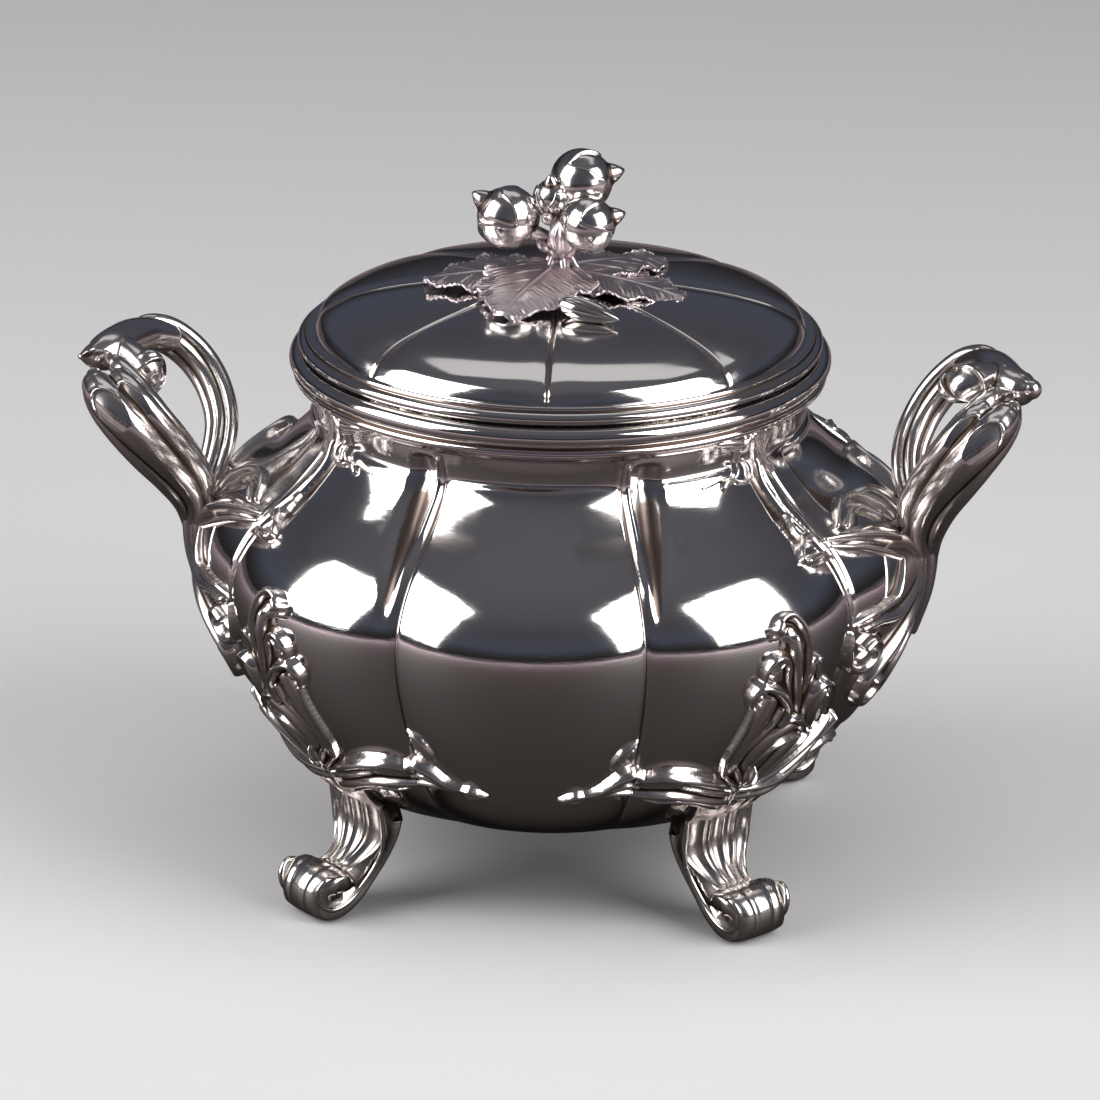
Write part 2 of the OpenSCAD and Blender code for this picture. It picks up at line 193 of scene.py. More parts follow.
def skin(rings, closed=False):
    """Solid skinned over rings of points; closed joins the last ring to the first."""
    rings = np.asarray(rings, float)
    m, n = rings.shape[:2]
    i = np.arange(m if closed else m - 1)[:, None] * n
    k = (np.arange(m if closed else m - 1)[:, None] + 1) % m * n
    j = np.arange(n)[None, :]
    quads = np.stack([i + j, i + (j + 1) % n, k + (j + 1) % n, k + j], -1).reshape(-1, 4)
    if closed:
        return outward((rings.reshape(-1, 3), [quads]))
    v = np.concatenate([rings.reshape(-1, 3), rings[0].mean(0)[None], rings[-1].mean(0)[None]])
    j = np.arange(n)
    start = np.stack([np.full(n, m * n), (j + 1) % n, j], -1)
    end = np.stack([np.full(n, m * n + 1), (m - 1) * n + j, (m - 1) * n + (j + 1) % n], -1)
    return outward((v, [quads, start, end]))


def join(shapes):
    v, faces, base = [], [], 0
    for s in shapes:
        v.append(s[0])
        faces += [f + base for f in s[1]]
        base += len(s[0])
    return np.concatenate(v), faces


def mirrored(shape, side, end):
    v = shape[0] * np.array([side, end, 1.0])
    return (v, shape[1] if side * end > 0 else [f[:, ::-1] for f in shape[1]]) + shape[2:]


def axes(direction):
    """Unit vector along direction, and two more that stand square to it."""
    d = unit(np.asarray(direction, float))
    e = unit(np.cross(d, (0.0, 0.0, 1.0)))
    return d, e, np.cross(e, d)


CAP = np.radians([12, 30, 50, 70])


def sweep(path, up, wide, high, sides=14):
    """Tube along a path with round ends; up sets which way the height of its section points."""
    path, up = np.asarray(path, float), np.asarray(up, float)
    t = unit(np.gradient(path, axis=0))

    def cap(i, sign):
        return [(path[i] + sign * t[i] * high[i] * math.sin(a), t[i], up[i], wide[i] * math.cos(a),
                 high[i] * math.cos(a)) for a in CAP]

    a = np.linspace(0, 2 * np.pi, sides, endpoint=False)
    rings = []
    for c, d, u, w, h in cap(0, -1)[::-1] + list(zip(path, t, up, wide, high)) + cap(-1, 1):
        e = unit(np.cross(u, d))
        f = np.cross(d, e)
        rings.append(c + np.outer(w * np.cos(a), e) + np.outer(h * np.sin(a), f))
    return skin(rings)


def rod(rows, up=(0, 0, 1), n=6, sides=14):
    """Tapered strand in space: rows of x, y, z, radius."""
    p = spline(rows, n)
    r = np.maximum(p[:, 3], 0.12)
    return sweep(p[:, :3], np.tile(np.asarray(up, float), (len(p), 1)), r, r, sides)


def ball(centre, radii, axis=(0, 0, 1), n=20):
    """Ellipsoid with its third radius along axis."""
    a = np.asarray(unit(np.asarray(axis, float)))
    e = unit(np.cross(a, (0.0, 1.0, 0.0) if abs(a[1]) < 0.9 else (1.0, 0.0, 0.0)))
    f = np.cross(a, e)
    t = np.linspace(0, 2 * np.pi, n, endpoint=False)
    rings = []
    for p in np.linspace(-88, 88, n // 2 + 3):
        c, s = math.cos(math.radians(p)), math.sin(math.radians(p))
        rings.append(np.asarray(centre) + a * radii[2] * s
                     + np.outer(np.cos(t) * radii[0] * c, e) + np.outer(np.sin(t) * radii[1] * c, f))
    return skin(rings)


def lathe(profile, steps=288):
    """Closed profile of radius and height turned about the axis."""
    p = np.asarray(profile, float)
    a = np.linspace(0, 2 * np.pi, steps, endpoint=False)
    rings = np.stack([np.outer(np.sin(a), p[:, 0]), np.outer(-np.cos(a), p[:, 0]),
                      np.tile(p[:, 1], (steps, 1))], -1)
    return skin(rings, closed=True)


# ---------------------------------------------------------------- meshes

def edges_of(shape):
    pairs = [np.stack([f[:, k], f[:, (k + 1) % f.shape[1]]], -1)
             for f in shape[1] for k in range(f.shape[1])]
    e = np.sort(np.concatenate(pairs), 1)
    return np.unique(e, axis=0)


def relaxed(v, e, rounds, amount=0.5):
    """Vertices after rounds of averaging with their neighbours."""
    count = np.bincount(e.ravel(), minlength=len(v))[:, None]
    for _ in range(rounds):
        total = np.stack([np.bincount(e[:, 0], v[e[:, 1], k], len(v))
                          + np.bincount(e[:, 1], v[e[:, 0], k], len(v)) for k in range(3)], -1)
        v = v + amount * (total / np.maximum(count, 1) - v)
    return v


def normals_of(shape):
    v, n = shape[0], np.zeros_like(shape[0])
    for f in shape[1]:
        m = np.cross(v[f[:, 2]] - v[f[:, 0]], v[f[:, -1]] - v[f[:, 1]])
        for k in range(f.shape[1]):
            for c in range(3):
                n[:, c] += np.bincount(f[:, k], m[:, c], len(v))
    return unit(n)


def with_hollows(shape, reach, depth=0.22):
    """Shape with how far each vertex lies in a hollow (0 to 1), within reach rounds of smoothing."""
    moved = relaxed(shape[0], edges_of(shape), reach, 0.6) - shape[0]
    value = np.clip(np.einsum("ij,ij->i", moved, normals_of(shape)) / depth, -1, 1)
    return shape[:2] + (value,)


def read(items, name, kind, wide=1):
    out = np.empty(len(items) * wide, kind)
    items.foreach_get(name, out)
    return out


def linked(name, data):
    obj = bpy.data.objects.new(name, data)
    bpy.context.scene.collection.objects.link(obj)
    return obj


def fuse(shapes, voxel=VOXEL):
    """One cast skin over overlapping solids."""
    v, faces = join(shapes)
    mesh = bpy.data.meshes.new("fuse")
    mesh.from_pydata(v.tolist(), [], [t for f in faces for t in f.tolist()])
    obj = linked("fuse", mesh)
    mod = obj.modifiers.new("voxel", "REMESH")
    mod.mode, mod.voxel_size, mod.adaptivity = "VOXEL", voxel, 0.0
    bpy.context.view_layer.update()
    seen = obj.evaluated_get(bpy.context.evaluated_depsgraph_get())
    done = bpy.data.meshes.new_from_object(seen)
    v = read(done.vertices, "co", float, 3).reshape(-1, 3)
    count = read(done.polygons, "loop_total", np.int32)
    start = read(done.polygons, "loop_start", np.int32)
    loops = read(done.loops, "vertex_index", np.int32)
    faces = [loops[start[count == k][:, None] + np.arange(k)] for k in (3, 4) if (count == k).any()]
    bpy.data.objects.remove(obj)
    bpy.data.meshes.remove(mesh)
    bpy.data.meshes.remove(done)
    shape = outward((v, faces))
    shape = (relaxed(shape[0], edges_of(shape), 2), shape[1])
    return with_hollows(shape, FUSED_REACH)


def piece(name, shape, material, body, node):
    """Blender object from a shape in millimetres, riding on a body in place of a CAD node."""
    v, faces = shape[0] * MM, shape[1]
    sizes = np.concatenate([np.full(len(f), f.shape[1], np.int32) for f in faces])
    corners = np.concatenate([f.ravel() for f in faces]).astype(np.int32)
    starts = np.concatenate([[0], np.cumsum(sizes)[:-1]]).astype(np.int32)
    mesh = bpy.data.meshes.new(name)
    mesh.vertices.add(len(v))
    mesh.vertices.foreach_set("co", v.ravel())
    mesh.loops.add(int(sizes.sum()))
    mesh.loops.foreach_set("vertex_index", corners)
    mesh.polygons.add(len(sizes))
    mesh.polygons.foreach_set("loop_start", starts)
    mesh.update(calc_edges=True)
    mesh.validate()
    mesh.polygons.foreach_set("use_smooth", np.ones(len(mesh.polygons), bool))
    layer = mesh.attributes.new("hollow", "FLOAT", "POINT")
    layer.data.foreach_set("value", shape[2].astype(np.float32))
    mesh.materials.append(material)
    obj = linked(name, mesh)
    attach(obj, body)
    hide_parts(node)


QUARTERS = {"front_left": (-1, 1), "front_right": (1, 1), "back_left": (-1, -1), "back_right": (1, -1)}
SIDES = {"left": (-1, 1), "right": (1, 1)}


def castings(places, stem, shape, node):
    """The mirror images of one casting, each in place of its own CAD node."""
    for name, (side, end) in places.items():
        piece(f"{stem}_{name}", mirrored(shape, side, end), cast, "bowl",
              f"{node}_{name}")


# ---------------------------------------------------------------- cast relief on the bowl

# Depth of a casting's bed below the bowl's surface.
BED = 0.6
# Slope of the relief's height outside its strokes, the height down to which its cells are
# kept, and the lowest that its top may lie.
OUTSIDE_FALL, KEPT_ABOVE, LOWEST = 1.6, -0.2, -0.35


def along_wall(z0, z1, step):
    """Heights from z0 to z1 at even steps measured along the bowl's wall."""
    z = np.linspace(z0, z1, 600)
    r = np.interp(z, CREASE[:, 1], CREASE[:, 0])
    s = np.concatenate([[0], np.cumsum(np.hypot(np.diff(z), np.diff(r)))])
    return np.interp(np.linspace(0, s[-1], int(s[-1] / step) + 1), s, z)


def stroke(rows, tilt=0.0, n=6):
    """Round-backed stroke of relief, given by rows of azimuth, height, rise and half-width.

    tilt raises its left side and lowers its right one.
    """
    return spline(rows, n), tilt


def dab(az, z, rise, radius):
    return stroke([[az - 0.04, z - 0.04, rise, radius], [az + 0.04, z + 0.04, rise, radius]], n=1)


def strokes(table):
    """Strokes from a table, whose entries are lists of rows or strokes already made."""
    return [entry if isinstance(entry, tuple) else stroke(entry) for entry in table]


def reflected(table):
    """The strokes and their mirror images about the middle of the side lobe."""
    made = strokes(table)
    return made + [(path * [-1, 1, 1, 1] + [180, 0, 0, 0], -tilt) for path, tilt in made]


def painted(grid_a, grid_z, table, blend):
    """Height of the relief over a grid; it falls away below zero outside the strokes."""
    az, z = grid_a[0], grid_z[:, 0]
    high = np.full(grid_a.shape, -9.0)
    for path, tilt in strokes(table):
        one = np.full(grid_a.shape, -9.0)
        for p, q in zip(path[:-1], path[1:]):
            r = bowl_radius(np.full(3, p[0]), p[1] + np.array([0.0, 0.5, -0.5]))
            scale = np.array([math.radians(1) * r[0], math.hypot(1.0, r[1] - r[2])])
            margin = 0.7
            reach = (max(p[3], q[3]) + margin) / scale
            low, top = np.minimum(p[:2], q[:2]) - reach, np.maximum(p[:2], q[:2]) + reach
            cols = slice(*np.searchsorted(az, [low[0], top[0]]))
            rows = slice(*np.searchsorted(z, [low[1], top[1]]))
            x = (grid_a[rows, cols] - p[0]) * scale[0]
            y = (grid_z[rows, cols] - p[1]) * scale[1]
            ex, ey = (q[:2] - p[:2]) * scale
            t = np.clip((x * ex + y * ey) / max(ex * ex + ey * ey, 1e-9), 0, 1)
            d = np.hypot(x - t * ex, y - t * ey)
            rise, width = (p[k] + t * (q[k] - p[k]) for k in (2, 3))
            s = d / width
            side = np.sign(ex * y - ey * x)
            crown = np.sqrt(np.clip(1 - s * s, 0, 1)) * (1 + tilt * side * s)
            value = np.where(s < 1, rise * crown, (width - d) * OUTSIDE_FALL)
            one[rows, cols] = np.maximum(one[rows, cols], value)
        meet = np.clip(blend - np.abs(high - one), 0, None)
        high = np.maximum(high, one) + meet ** 2 / (4 * blend)
    return high


def relief(span, heights, table, blend=0.2):
    """Closed casting soldered to the bowl: painted strokes on top, and a bed in the sheet."""
    z = along_wall(*heights, STEP)
    middle = float(bowl_radius(sum(span) / 2, sum(heights) / 2))
    az = np.linspace(*span, int(math.radians(span[1] - span[0]) * middle / STEP) + 1)
    grid_a, grid_z = np.meshgrid(az, z)
    high = painted(grid_a, grid_z, table, blend)
    full = high > KEPT_ABOVE
    cell = full[:-1, :-1] | full[1:, :-1] | full[:-1, 1:] | full[1:, 1:]
    n = grid_a.size
    index = np.arange(n).reshape(grid_a.shape)
    quads = np.stack([index[:-1, :-1], index[:-1, 1:], index[1:, 1:], index[1:, :-1]], -1)[cell]
    edges = np.concatenate([quads[:, [k, (k + 1) % 4]] for k in range(4)])
    rim = edges[~np.isin(edges[:, 0] * n + edges[:, 1], edges[:, 1] * n + edges[:, 0])]
    walls = np.stack([rim[:, 1], rim[:, 0], rim[:, 0] + n, rim[:, 1] + n], -1)
    faces = np.concatenate([quads, quads[:, ::-1] + n, walls])
    # The bed follows the chased channels of the sheet, so that nothing stands clear of it.
    bed = np.minimum(chasing(grid_a, grid_z), 0) - BED
    v = np.concatenate([bowl_point(grid_a, grid_z, np.clip(high, LOWEST, None)).reshape(-1, 3),
                        bowl_point(grid_a, grid_z, bed).reshape(-1, 3)])
    used, faces = np.unique(faces, return_inverse=True)
    shape = outward((v[used], [faces.reshape(-1, 4)]))
    shape = (relaxed(shape[0], edges_of(shape), 2, 0.4), shape[1])
    return with_hollows(shape, RELIEF_REACH, 0.3)


def pressed(shape, centre, normal, along, half, depth, lip, open_end=False):
    """Shape with a shallow oval hollow pressed into it, edged by a fine raised lip.

    With an open end, the hollow and its lip fade out away from the direction along.
    """
    n = unit(np.asarray(normal, float))
    e = unit(along - np.dot(along, n) * n)
    f = np.cross(n, e)
    local = shape[0] - np.asarray(centre)
    rho = np.hypot(local @ e / half[0], local @ f / half[1])
    facing = smooth(0.1, 0.5, normals_of(shape) @ n) * (np.abs(local @ n) < max(half))
    basin = np.clip(1 - rho ** 4, 0, None) ** 0.5
    edge = bell((rho - 1.02) / 0.1)
    if open_end:
        near = smooth(-0.5, 0.6, local @ e / half[0])
        basin = basin * near + np.clip(1 - rho ** 2, 0, None) * (1 - near)
        edge = edge * near
    sink = depth * basin - lip * edge
    return (shape[0] - (sink * facing * (rho < 1.6))[:, None] * n,) + shape[1:]


# ---------------------------------------------------------------- materials

def new_tree(data):
    data.use_nodes = True
    return data.node_tree


def add(tree, kind, inputs=(), **settings):
    """Shader node with its settings, and its inputs given as values or as sockets to link."""
    node = tree.nodes.new("ShaderNode" + kind)
    for name, value in settings.items():
        setattr(node, name, value)
    fill(tree, node, inputs)
    return node


def fill(tree, node, inputs):
    for name, value in dict(inputs).items():
        if isinstance(value, bpy.types.NodeSocket):
            tree.links.new(value, node.inputs[name])
        else:
            node.inputs[name].default_value = value


def ramp(tree, factor, stops):
    """Colour ramp over rising (position, colour) stops."""
    node = add(tree, "ValToRGB", {0: factor})
    elements = node.color_ramp.elements
    for element, (at, colour) in ((elements[0], stops[0]), (elements[1], stops[-1])):
        element.position, element.color = at, (*colour, 1)
    for at, colour in stops[1:-1]:
        elements.new(at).color = (*colour, 1)
    return node.outputs[0]


def silver(name, colour, tarnish, rough, dull, grain, brushed=0.0, spots=0.0):
    """Old polished silver: darker and duller in its hollows, with fine wear over the surface."""
    mat = bpy.data.materials.new(name)
    tree = new_tree(mat)
    place = add(tree, "TexCoord").outputs["Object"]
    hollow = add(tree, "Attribute", attribute_name="hollow").outputs["Fac"]
    cloud = add(tree, "TexNoise", {"Scale": 55, "Detail": 5, "Vector": place}).outputs["Fac"]
    depth = add(tree, "Math", {0: cloud, 1: 0.7, 2: hollow}, operation="MULTIPLY_ADD").outputs[0]
    between = [(a * 2 + b) / 3 for a, b in zip(colour, tarnish)]
    tint = ramp(tree, depth, [(0.3 - spots, colour), (0.62 - spots, between), (1.15 - spots, tarnish)])
    wear = add(tree, "MapRange", {"From Min": 0.3, "From Max": 1.1, "To Min": rough, "To Max": dull,
                                  "Value": depth}).outputs[0]
    stretch = add(tree, "Mapping", {"Scale": (1, 1, 1 + brushed), "Vector": place}).outputs[0]
    fine = add(tree, "TexNoise", {"Scale": grain, "Detail": 4, "Roughness": 0.6, "Vector": stretch})
    bump = add(tree, "Bump", {"Strength": 0.35, "Distance": 0.00004 if brushed else 0.00003,
                              "Height": fine.outputs["Fac"]})
    fill(tree, tree.nodes["Principled BSDF"],
         {"Metallic": 1.0, "Base Color": tint, "Roughness": wear, "Normal": bump.outputs[0]})
    return mat


# Name, bright colour, tarnish, roughness where bright and where tarnished, grains per metre.
sheet = silver("sheet silver", (0.82, 0.79, 0.77), (0.20, 0.15, 0.13), 0.085, 0.34, 260, 5.0)
lidded = silver("lid silver", (0.82, 0.79, 0.77), (0.22, 0.16, 0.13), 0.1, 0.34, 260)
cast = silver("cast silver", (0.86, 0.81, 0.78), (0.10, 0.065, 0.05), 0.19, 0.42, 420)
moulding = silver("moulding silver", (0.84, 0.80, 0.77), (0.15, 0.10, 0.08), 0.08, 0.36, 320)
satin = silver("leaf silver", (0.76, 0.68, 0.69), (0.16, 0.12, 0.13), 0.34, 0.5, 900, spots=0.02)
kernel = silver("nut silver", (0.82, 0.78, 0.75), (0.10, 0.07, 0.06), 0.16, 0.42, 500)
hidden = silver("fixing silver", (0.66, 0.63, 0.60), (0.18, 0.14, 0.12), 0.3, 0.5, 700)


# ---------------------------------------------------------------- bowl

def bowl_sheet():
    # Columns crowd towards the creases, and rows where the sheet is chased.
    margin = 11.5
    near = margin * np.linspace(0, 1, 21)[:-1] ** 1.35
    az = np.concatenate([part for a, b in zip(LOBES[:-1], LOBES[1:])
                         for part in (a + near, np.linspace(a + margin, b - margin, 9),
                                      b - near[:0:-1])])
    low, middle, neck = np.arange(20.2, 78, 1.15), np.arange(78, 94, 0.8), np.arange(94, 106.5, 0.42)
    z = np.concatenate([[BOTTOM_Z, 19.3, 19.6], low, middle, neck, [108, 111, MOUTH_Z]])
    grid_a, grid_z = np.meshgrid(az, z)
    r = bowl_radius(grid_a, grid_z) + chasing(grid_a, grid_z)
    r = np.where(grid_z > NECK_Z, NECK_RADIUS, r)
    outer = around(grid_a, r, grid_z)
    floor = [around(az, k, BOTTOM_Z) for k in (6, 16, 26, 31, 33.4)]
    # The inside lies one wall's thickness in from the profile along the first crease.
    rows = np.r_[0:len(low):3, len(low):len(z) - 3:2] + 3
    rise, swell = np.gradient(outer[:, 0, 2]), np.gradient(np.hypot(outer[:, 0, 0], outer[:, 0, 1]))
    inner = []
    for i in rows[::-1]:
        h = math.hypot(rise[i], swell[i])
        inner.append(outer[i] - BOWL_WALL * around(az, rise[i] / h, -swell[i] / h))
    lip = [around(az, NECK_RADIUS - BOWL_WALL, k) for k in (MOUTH_Z, 110.0, 107.0)]
    base = [around(az, k, BOTTOM_Z + BOWL_WALL) for k in (32.5, 26, 16, 6)]
    shape = skin(np.concatenate([floor, outer, lip, inner, base]))
    hollow = with_hollows(shape, 6, 0.08)[2]
    # The sheet is darker and duller towards its underside and all over its inside, and its hollows are
    # paler near the neck.
    height = shape[0][:, 2]
    underside = 0.12 * (1 - smooth(26, 50, height))
    inside = np.zeros(len(height))
    inside[(len(floor) + len(outer)) * len(az):] = 0.35
    worn = 1 - 0.8 * smooth(94, 97, height)
    return shape + (np.clip(hollow * worn + underside + inside, -1, 1),)


piece("bowl_sheet", bowl_sheet(), sheet, "bowl", "bowl_shell")

rim_profile = np.concatenate([
    [[52.9, 112.9]], arc(54.9, 111.0, 2.08, 88, -62, 16),
    [[55.5, 108.95], [55.3, 108.75], [55.35, 108.55]], arc(55.2, 107.75, 0.85, 70, -72, 10),
    [[54.6, 106.75], [53.9, 106.2], [53.4, 105.5], [52.9, 105.0]]])
piece("bowl_rim_moulding", with_hollows(lathe(rim_profile), 8, 0.1), moulding, "bowl",
      "bowl_rim")


# ---------------------------------------------------------------- legs

# Places of the fine ridges across a leg, from one edge (-1) to the other (1).
RIDGES = (-1.0, -0.41, -0.24, 0.19, 0.52, 1.0)
FOOT_AZ = 45.0
FOOT_COS, FOOT_SIN = math.cos(math.radians(FOOT_AZ)), math.sin(math.radians(FOOT_AZ))


def leg_flutes(s):
    """Depth of the hollow flutes between the ridges at s across the leg."""
    i = min(max(int(np.searchsorted(RIDGES, s, "right")) - 1, 0), len(RIDGES) - 2)
    half = (RIDGES[i + 1] - RIDGES[i]) / 2
    x = (s - RIDGES[i]) / half - 1
    return (0.35 + 3.0 * half) * max(0.0, 1 - abs(x) ** 2.2)


def leg_half_width(z):
    """Half the width of the leg: narrow above the toe, and spread where it meets the bowl."""
    return 6.4 + 2.4 * smooth(5, 19, z) + 2.6 * smooth(22, 33.5, z)


def beside_leg(r, x, z):
    """Points at radius r and height z in the plane of the leg, shifted sideways by x."""
    return np.stack([r * FOOT_SIN + x * FOOT_COS, -r * FOOT_COS + x * FOOT_SIN, z], -1)


def on_leg(p, x, level):
    """Points at radius and height p, shifted sideways by x; near the bowl they follow its wall."""
    free = beside_leg(p[:, 0], x, p[:, 1])
    az = FOOT_AZ + np.degrees(x / p[:, 0])
    r = p[:, 0] + bowl_radius(az, level) - bowl_radius(np.full(len(az), FOOT_AZ), level)
    return free + (around(az, r, p[:, 1]) - free) * smooth(20.5, 26.5, level)[:, None]


def closed_on_lines(rings, first, last, reached):
    """Solid skinned over rings, its ends closed on lines; reached names each vertex's point there."""
    m, n = rings.shape[:2]
    i, j = np.arange(m - 1)[:, None] * n, np.arange(n)
    k = (j + 1) % n
    faces = [np.stack([i + j, i + k, i + n + k, i + n + j], -1).reshape(-1, 4)]
    end, a, b = (m - 1) * n, m * n + reached, m * n + reached[k]
    same = reached == reached[k]
    faces.append(np.stack([a, b, k, j], -1)[~same])
    faces.append(np.stack([a, k, j], -1)[same])
    a, b = a + len(first), b + len(first)
    faces.append(np.stack([b, a, end + j, end + k], -1)[~same])
    faces.append(np.stack([a, end + j, end + k], -1)[same])
    return outward((np.concatenate([rings.reshape(-1, 3), first, last]), faces))


def leg_on_wall(rows):
    """Radius and height of the points that lie at height z and d above the bowl's wall."""
    rows = np.array(rows)
    p = bowl_point(FOOT_AZ, rows[:, 0], rows[:, 1])
    return np.stack([np.hypot(p[:, 0], p[:, 1]), p[:, 2]], -1)


def leg():
    # Outline of the leg seen from its side: its face, rolled toe, back and the top in the wall.
    flare = leg_on_wall([(33.5, 1.4), (32.0, 1.6), (30.2, 1.9), (28.4, 2.1), (26.6, 2.1), (25.2, 2.0)])
    under = leg_on_wall([(22.8, -0.5), (24.6, -0.5), (26.6, -0.5), (29.0, -0.5), (31.4, -0.5),
                         (33.5, -0.45)])
    shin = [[53.9, 20.6], [53.7, 17.2], [55.2, 13.8], [58.0, 11.4], [60.4, 10.4]]
    face = spline(np.concatenate([flare, shin]), 7)
    roll = arc(64.3, 5.95, 5.9, 130, -90, 40)
    back = spline([[63.4, 0.05], [60.4, 0.8], [56.0, 3.8], [51.6, 9.2], [49.0, 15], [47.6, 20.4]], 8)
    line = np.concatenate([face, roll[1:], back, under])
    t = unit(np.roll(line, -1, 0) - np.roll(line, 1, 0))
    inward = np.stack([t[:, 1], -t[:, 0]], -1)
    if np.einsum("ij,ij->", inward, line.mean(0) - line) < 0:
        inward = -inward
    k = np.arange(len(line))
    toe, heel, wall = len(face), len(face) + len(roll) - 1, len(line) - len(under)
    on_face, on_toe, on_back = k < toe, (k >= toe) & (k < heel), (k >= heel) & (k < wall)
    fluted = on_face * (1 - smooth(toe - 7, toe, k))
    crease = 0.8 * bell((k - toe + 0.5) / 2.0)
    paw = on_toe * np.sin(np.pi * np.clip((k - toe) / 30, 0, 1))
    full = leg_half_width(line[:, 1])
    # Above the toe the face narrows, and its outer flutes sweep round into the volutes.
    half = full - 2.6 * on_face * (1 - smooth(10.5, 17, line[:, 1]))
    gutter = full - 1.5 * on_face * (1 - smooth(10.5, 17, line[:, 1]))
    # Heart line of the leg, onto which the plain sides close.
    heart = np.concatenate([leg_on_wall([(32.0, 0.4), (28.0, 0.4), (25.0, 0.4)]),
                            [[50.8, 20.0], [51.4, 15.4], [53.4, 11.4], [57.0, 7.4], [60.6, 5.6],
                             [64.3, 6.0]]])
    heart = spline(heart, 3)
    reached = np.argmin(np.hypot(*(line[:, None] - heart[None]).transpose(2, 0, 1)), axis=1)
    places = [(s, 0.0) for s in np.linspace(-1, 1, 121)]
    rings = []
    for s, shut in [(-1.0, 0.7), (-1.0, 0.35)] + places + [(1.0, 0.35), (1.0, 0.7)]:
        bevel = 1 - math.sqrt(max(0.0, 1 - (max(0.0, abs(s) - 0.9) / 0.1) ** 2))
        rounded = 1 - math.sqrt(max(0.0, 1 - abs(s) ** 2.8))
        lobes = 0.4 * math.exp(-((abs(s) - 0.36) / 0.12) ** 2)
        dip = fluted * leg_flutes(s) + crease * (1 - s ** 4) + 0.7 * bevel * on_face
        dip = dip + (2.4 * rounded + lobes) * paw + 0.9 * rounded * (on_back | on_toe)
        p = line + inward * dip[:, None]
        p = p + (heart[reached] - p) * shut
        x = s * (half + (gutter - 0.3 - half) * min(1.0, 1.6 * shut))
        rings.append(on_leg(p, x, line[:, 1]))
    side = leg_half_width(heart[:, 1]) - 0.4 - 0.9 * (1 - smooth(10.5, 17, heart[:, 1]))
    ends = [on_leg(heart, k * side, heart[:, 1]) for k in (-1, 1)]
    parts = [closed_on_lines(np.array(rings), *ends, reached)]
    # Raised line down each edge, curling into the volute beside the toe.
    curl = np.array([[54.2, 24.6], [53.7, 20.6], [53.3, 17.0], [53.2, 13.6], [54.6, 9.8], [57.6, 6.1],
                     [61.2, 3.6], [65.0, 3.0], [68.2, 5.0], [68.9, 8.2], [66.9, 10.5], [64.2, 9.9],
                     [63.2, 8.1], [64.6, 7.0]])
    radii = np.array([0.3, 0.45, 0.55, 0.6] + [0.65] * 10)
    inset = np.where(np.arange(len(curl)) > 10, 0.4, 0.0)
    for side in (-1, 1):
        x = side * (leg_half_width(curl[:, 1]) - 0.25 - inset)
        rows = np.column_stack([beside_leg(curl[:, 0], x, curl[:, 1]), radii])
        parts.append(rod(rows, up=(side * FOOT_COS, side * FOOT_SIN, 0), sides=12))
    v, faces = join(parts)
    v[:, 2] = np.maximum(v[:, 2], 0.0)
    return with_hollows((v, faces), 10, 0.35)


castings(QUARTERS, "leg", leg(), "foot_leg")


# ---------------------------------------------------------------- leaves over the feet

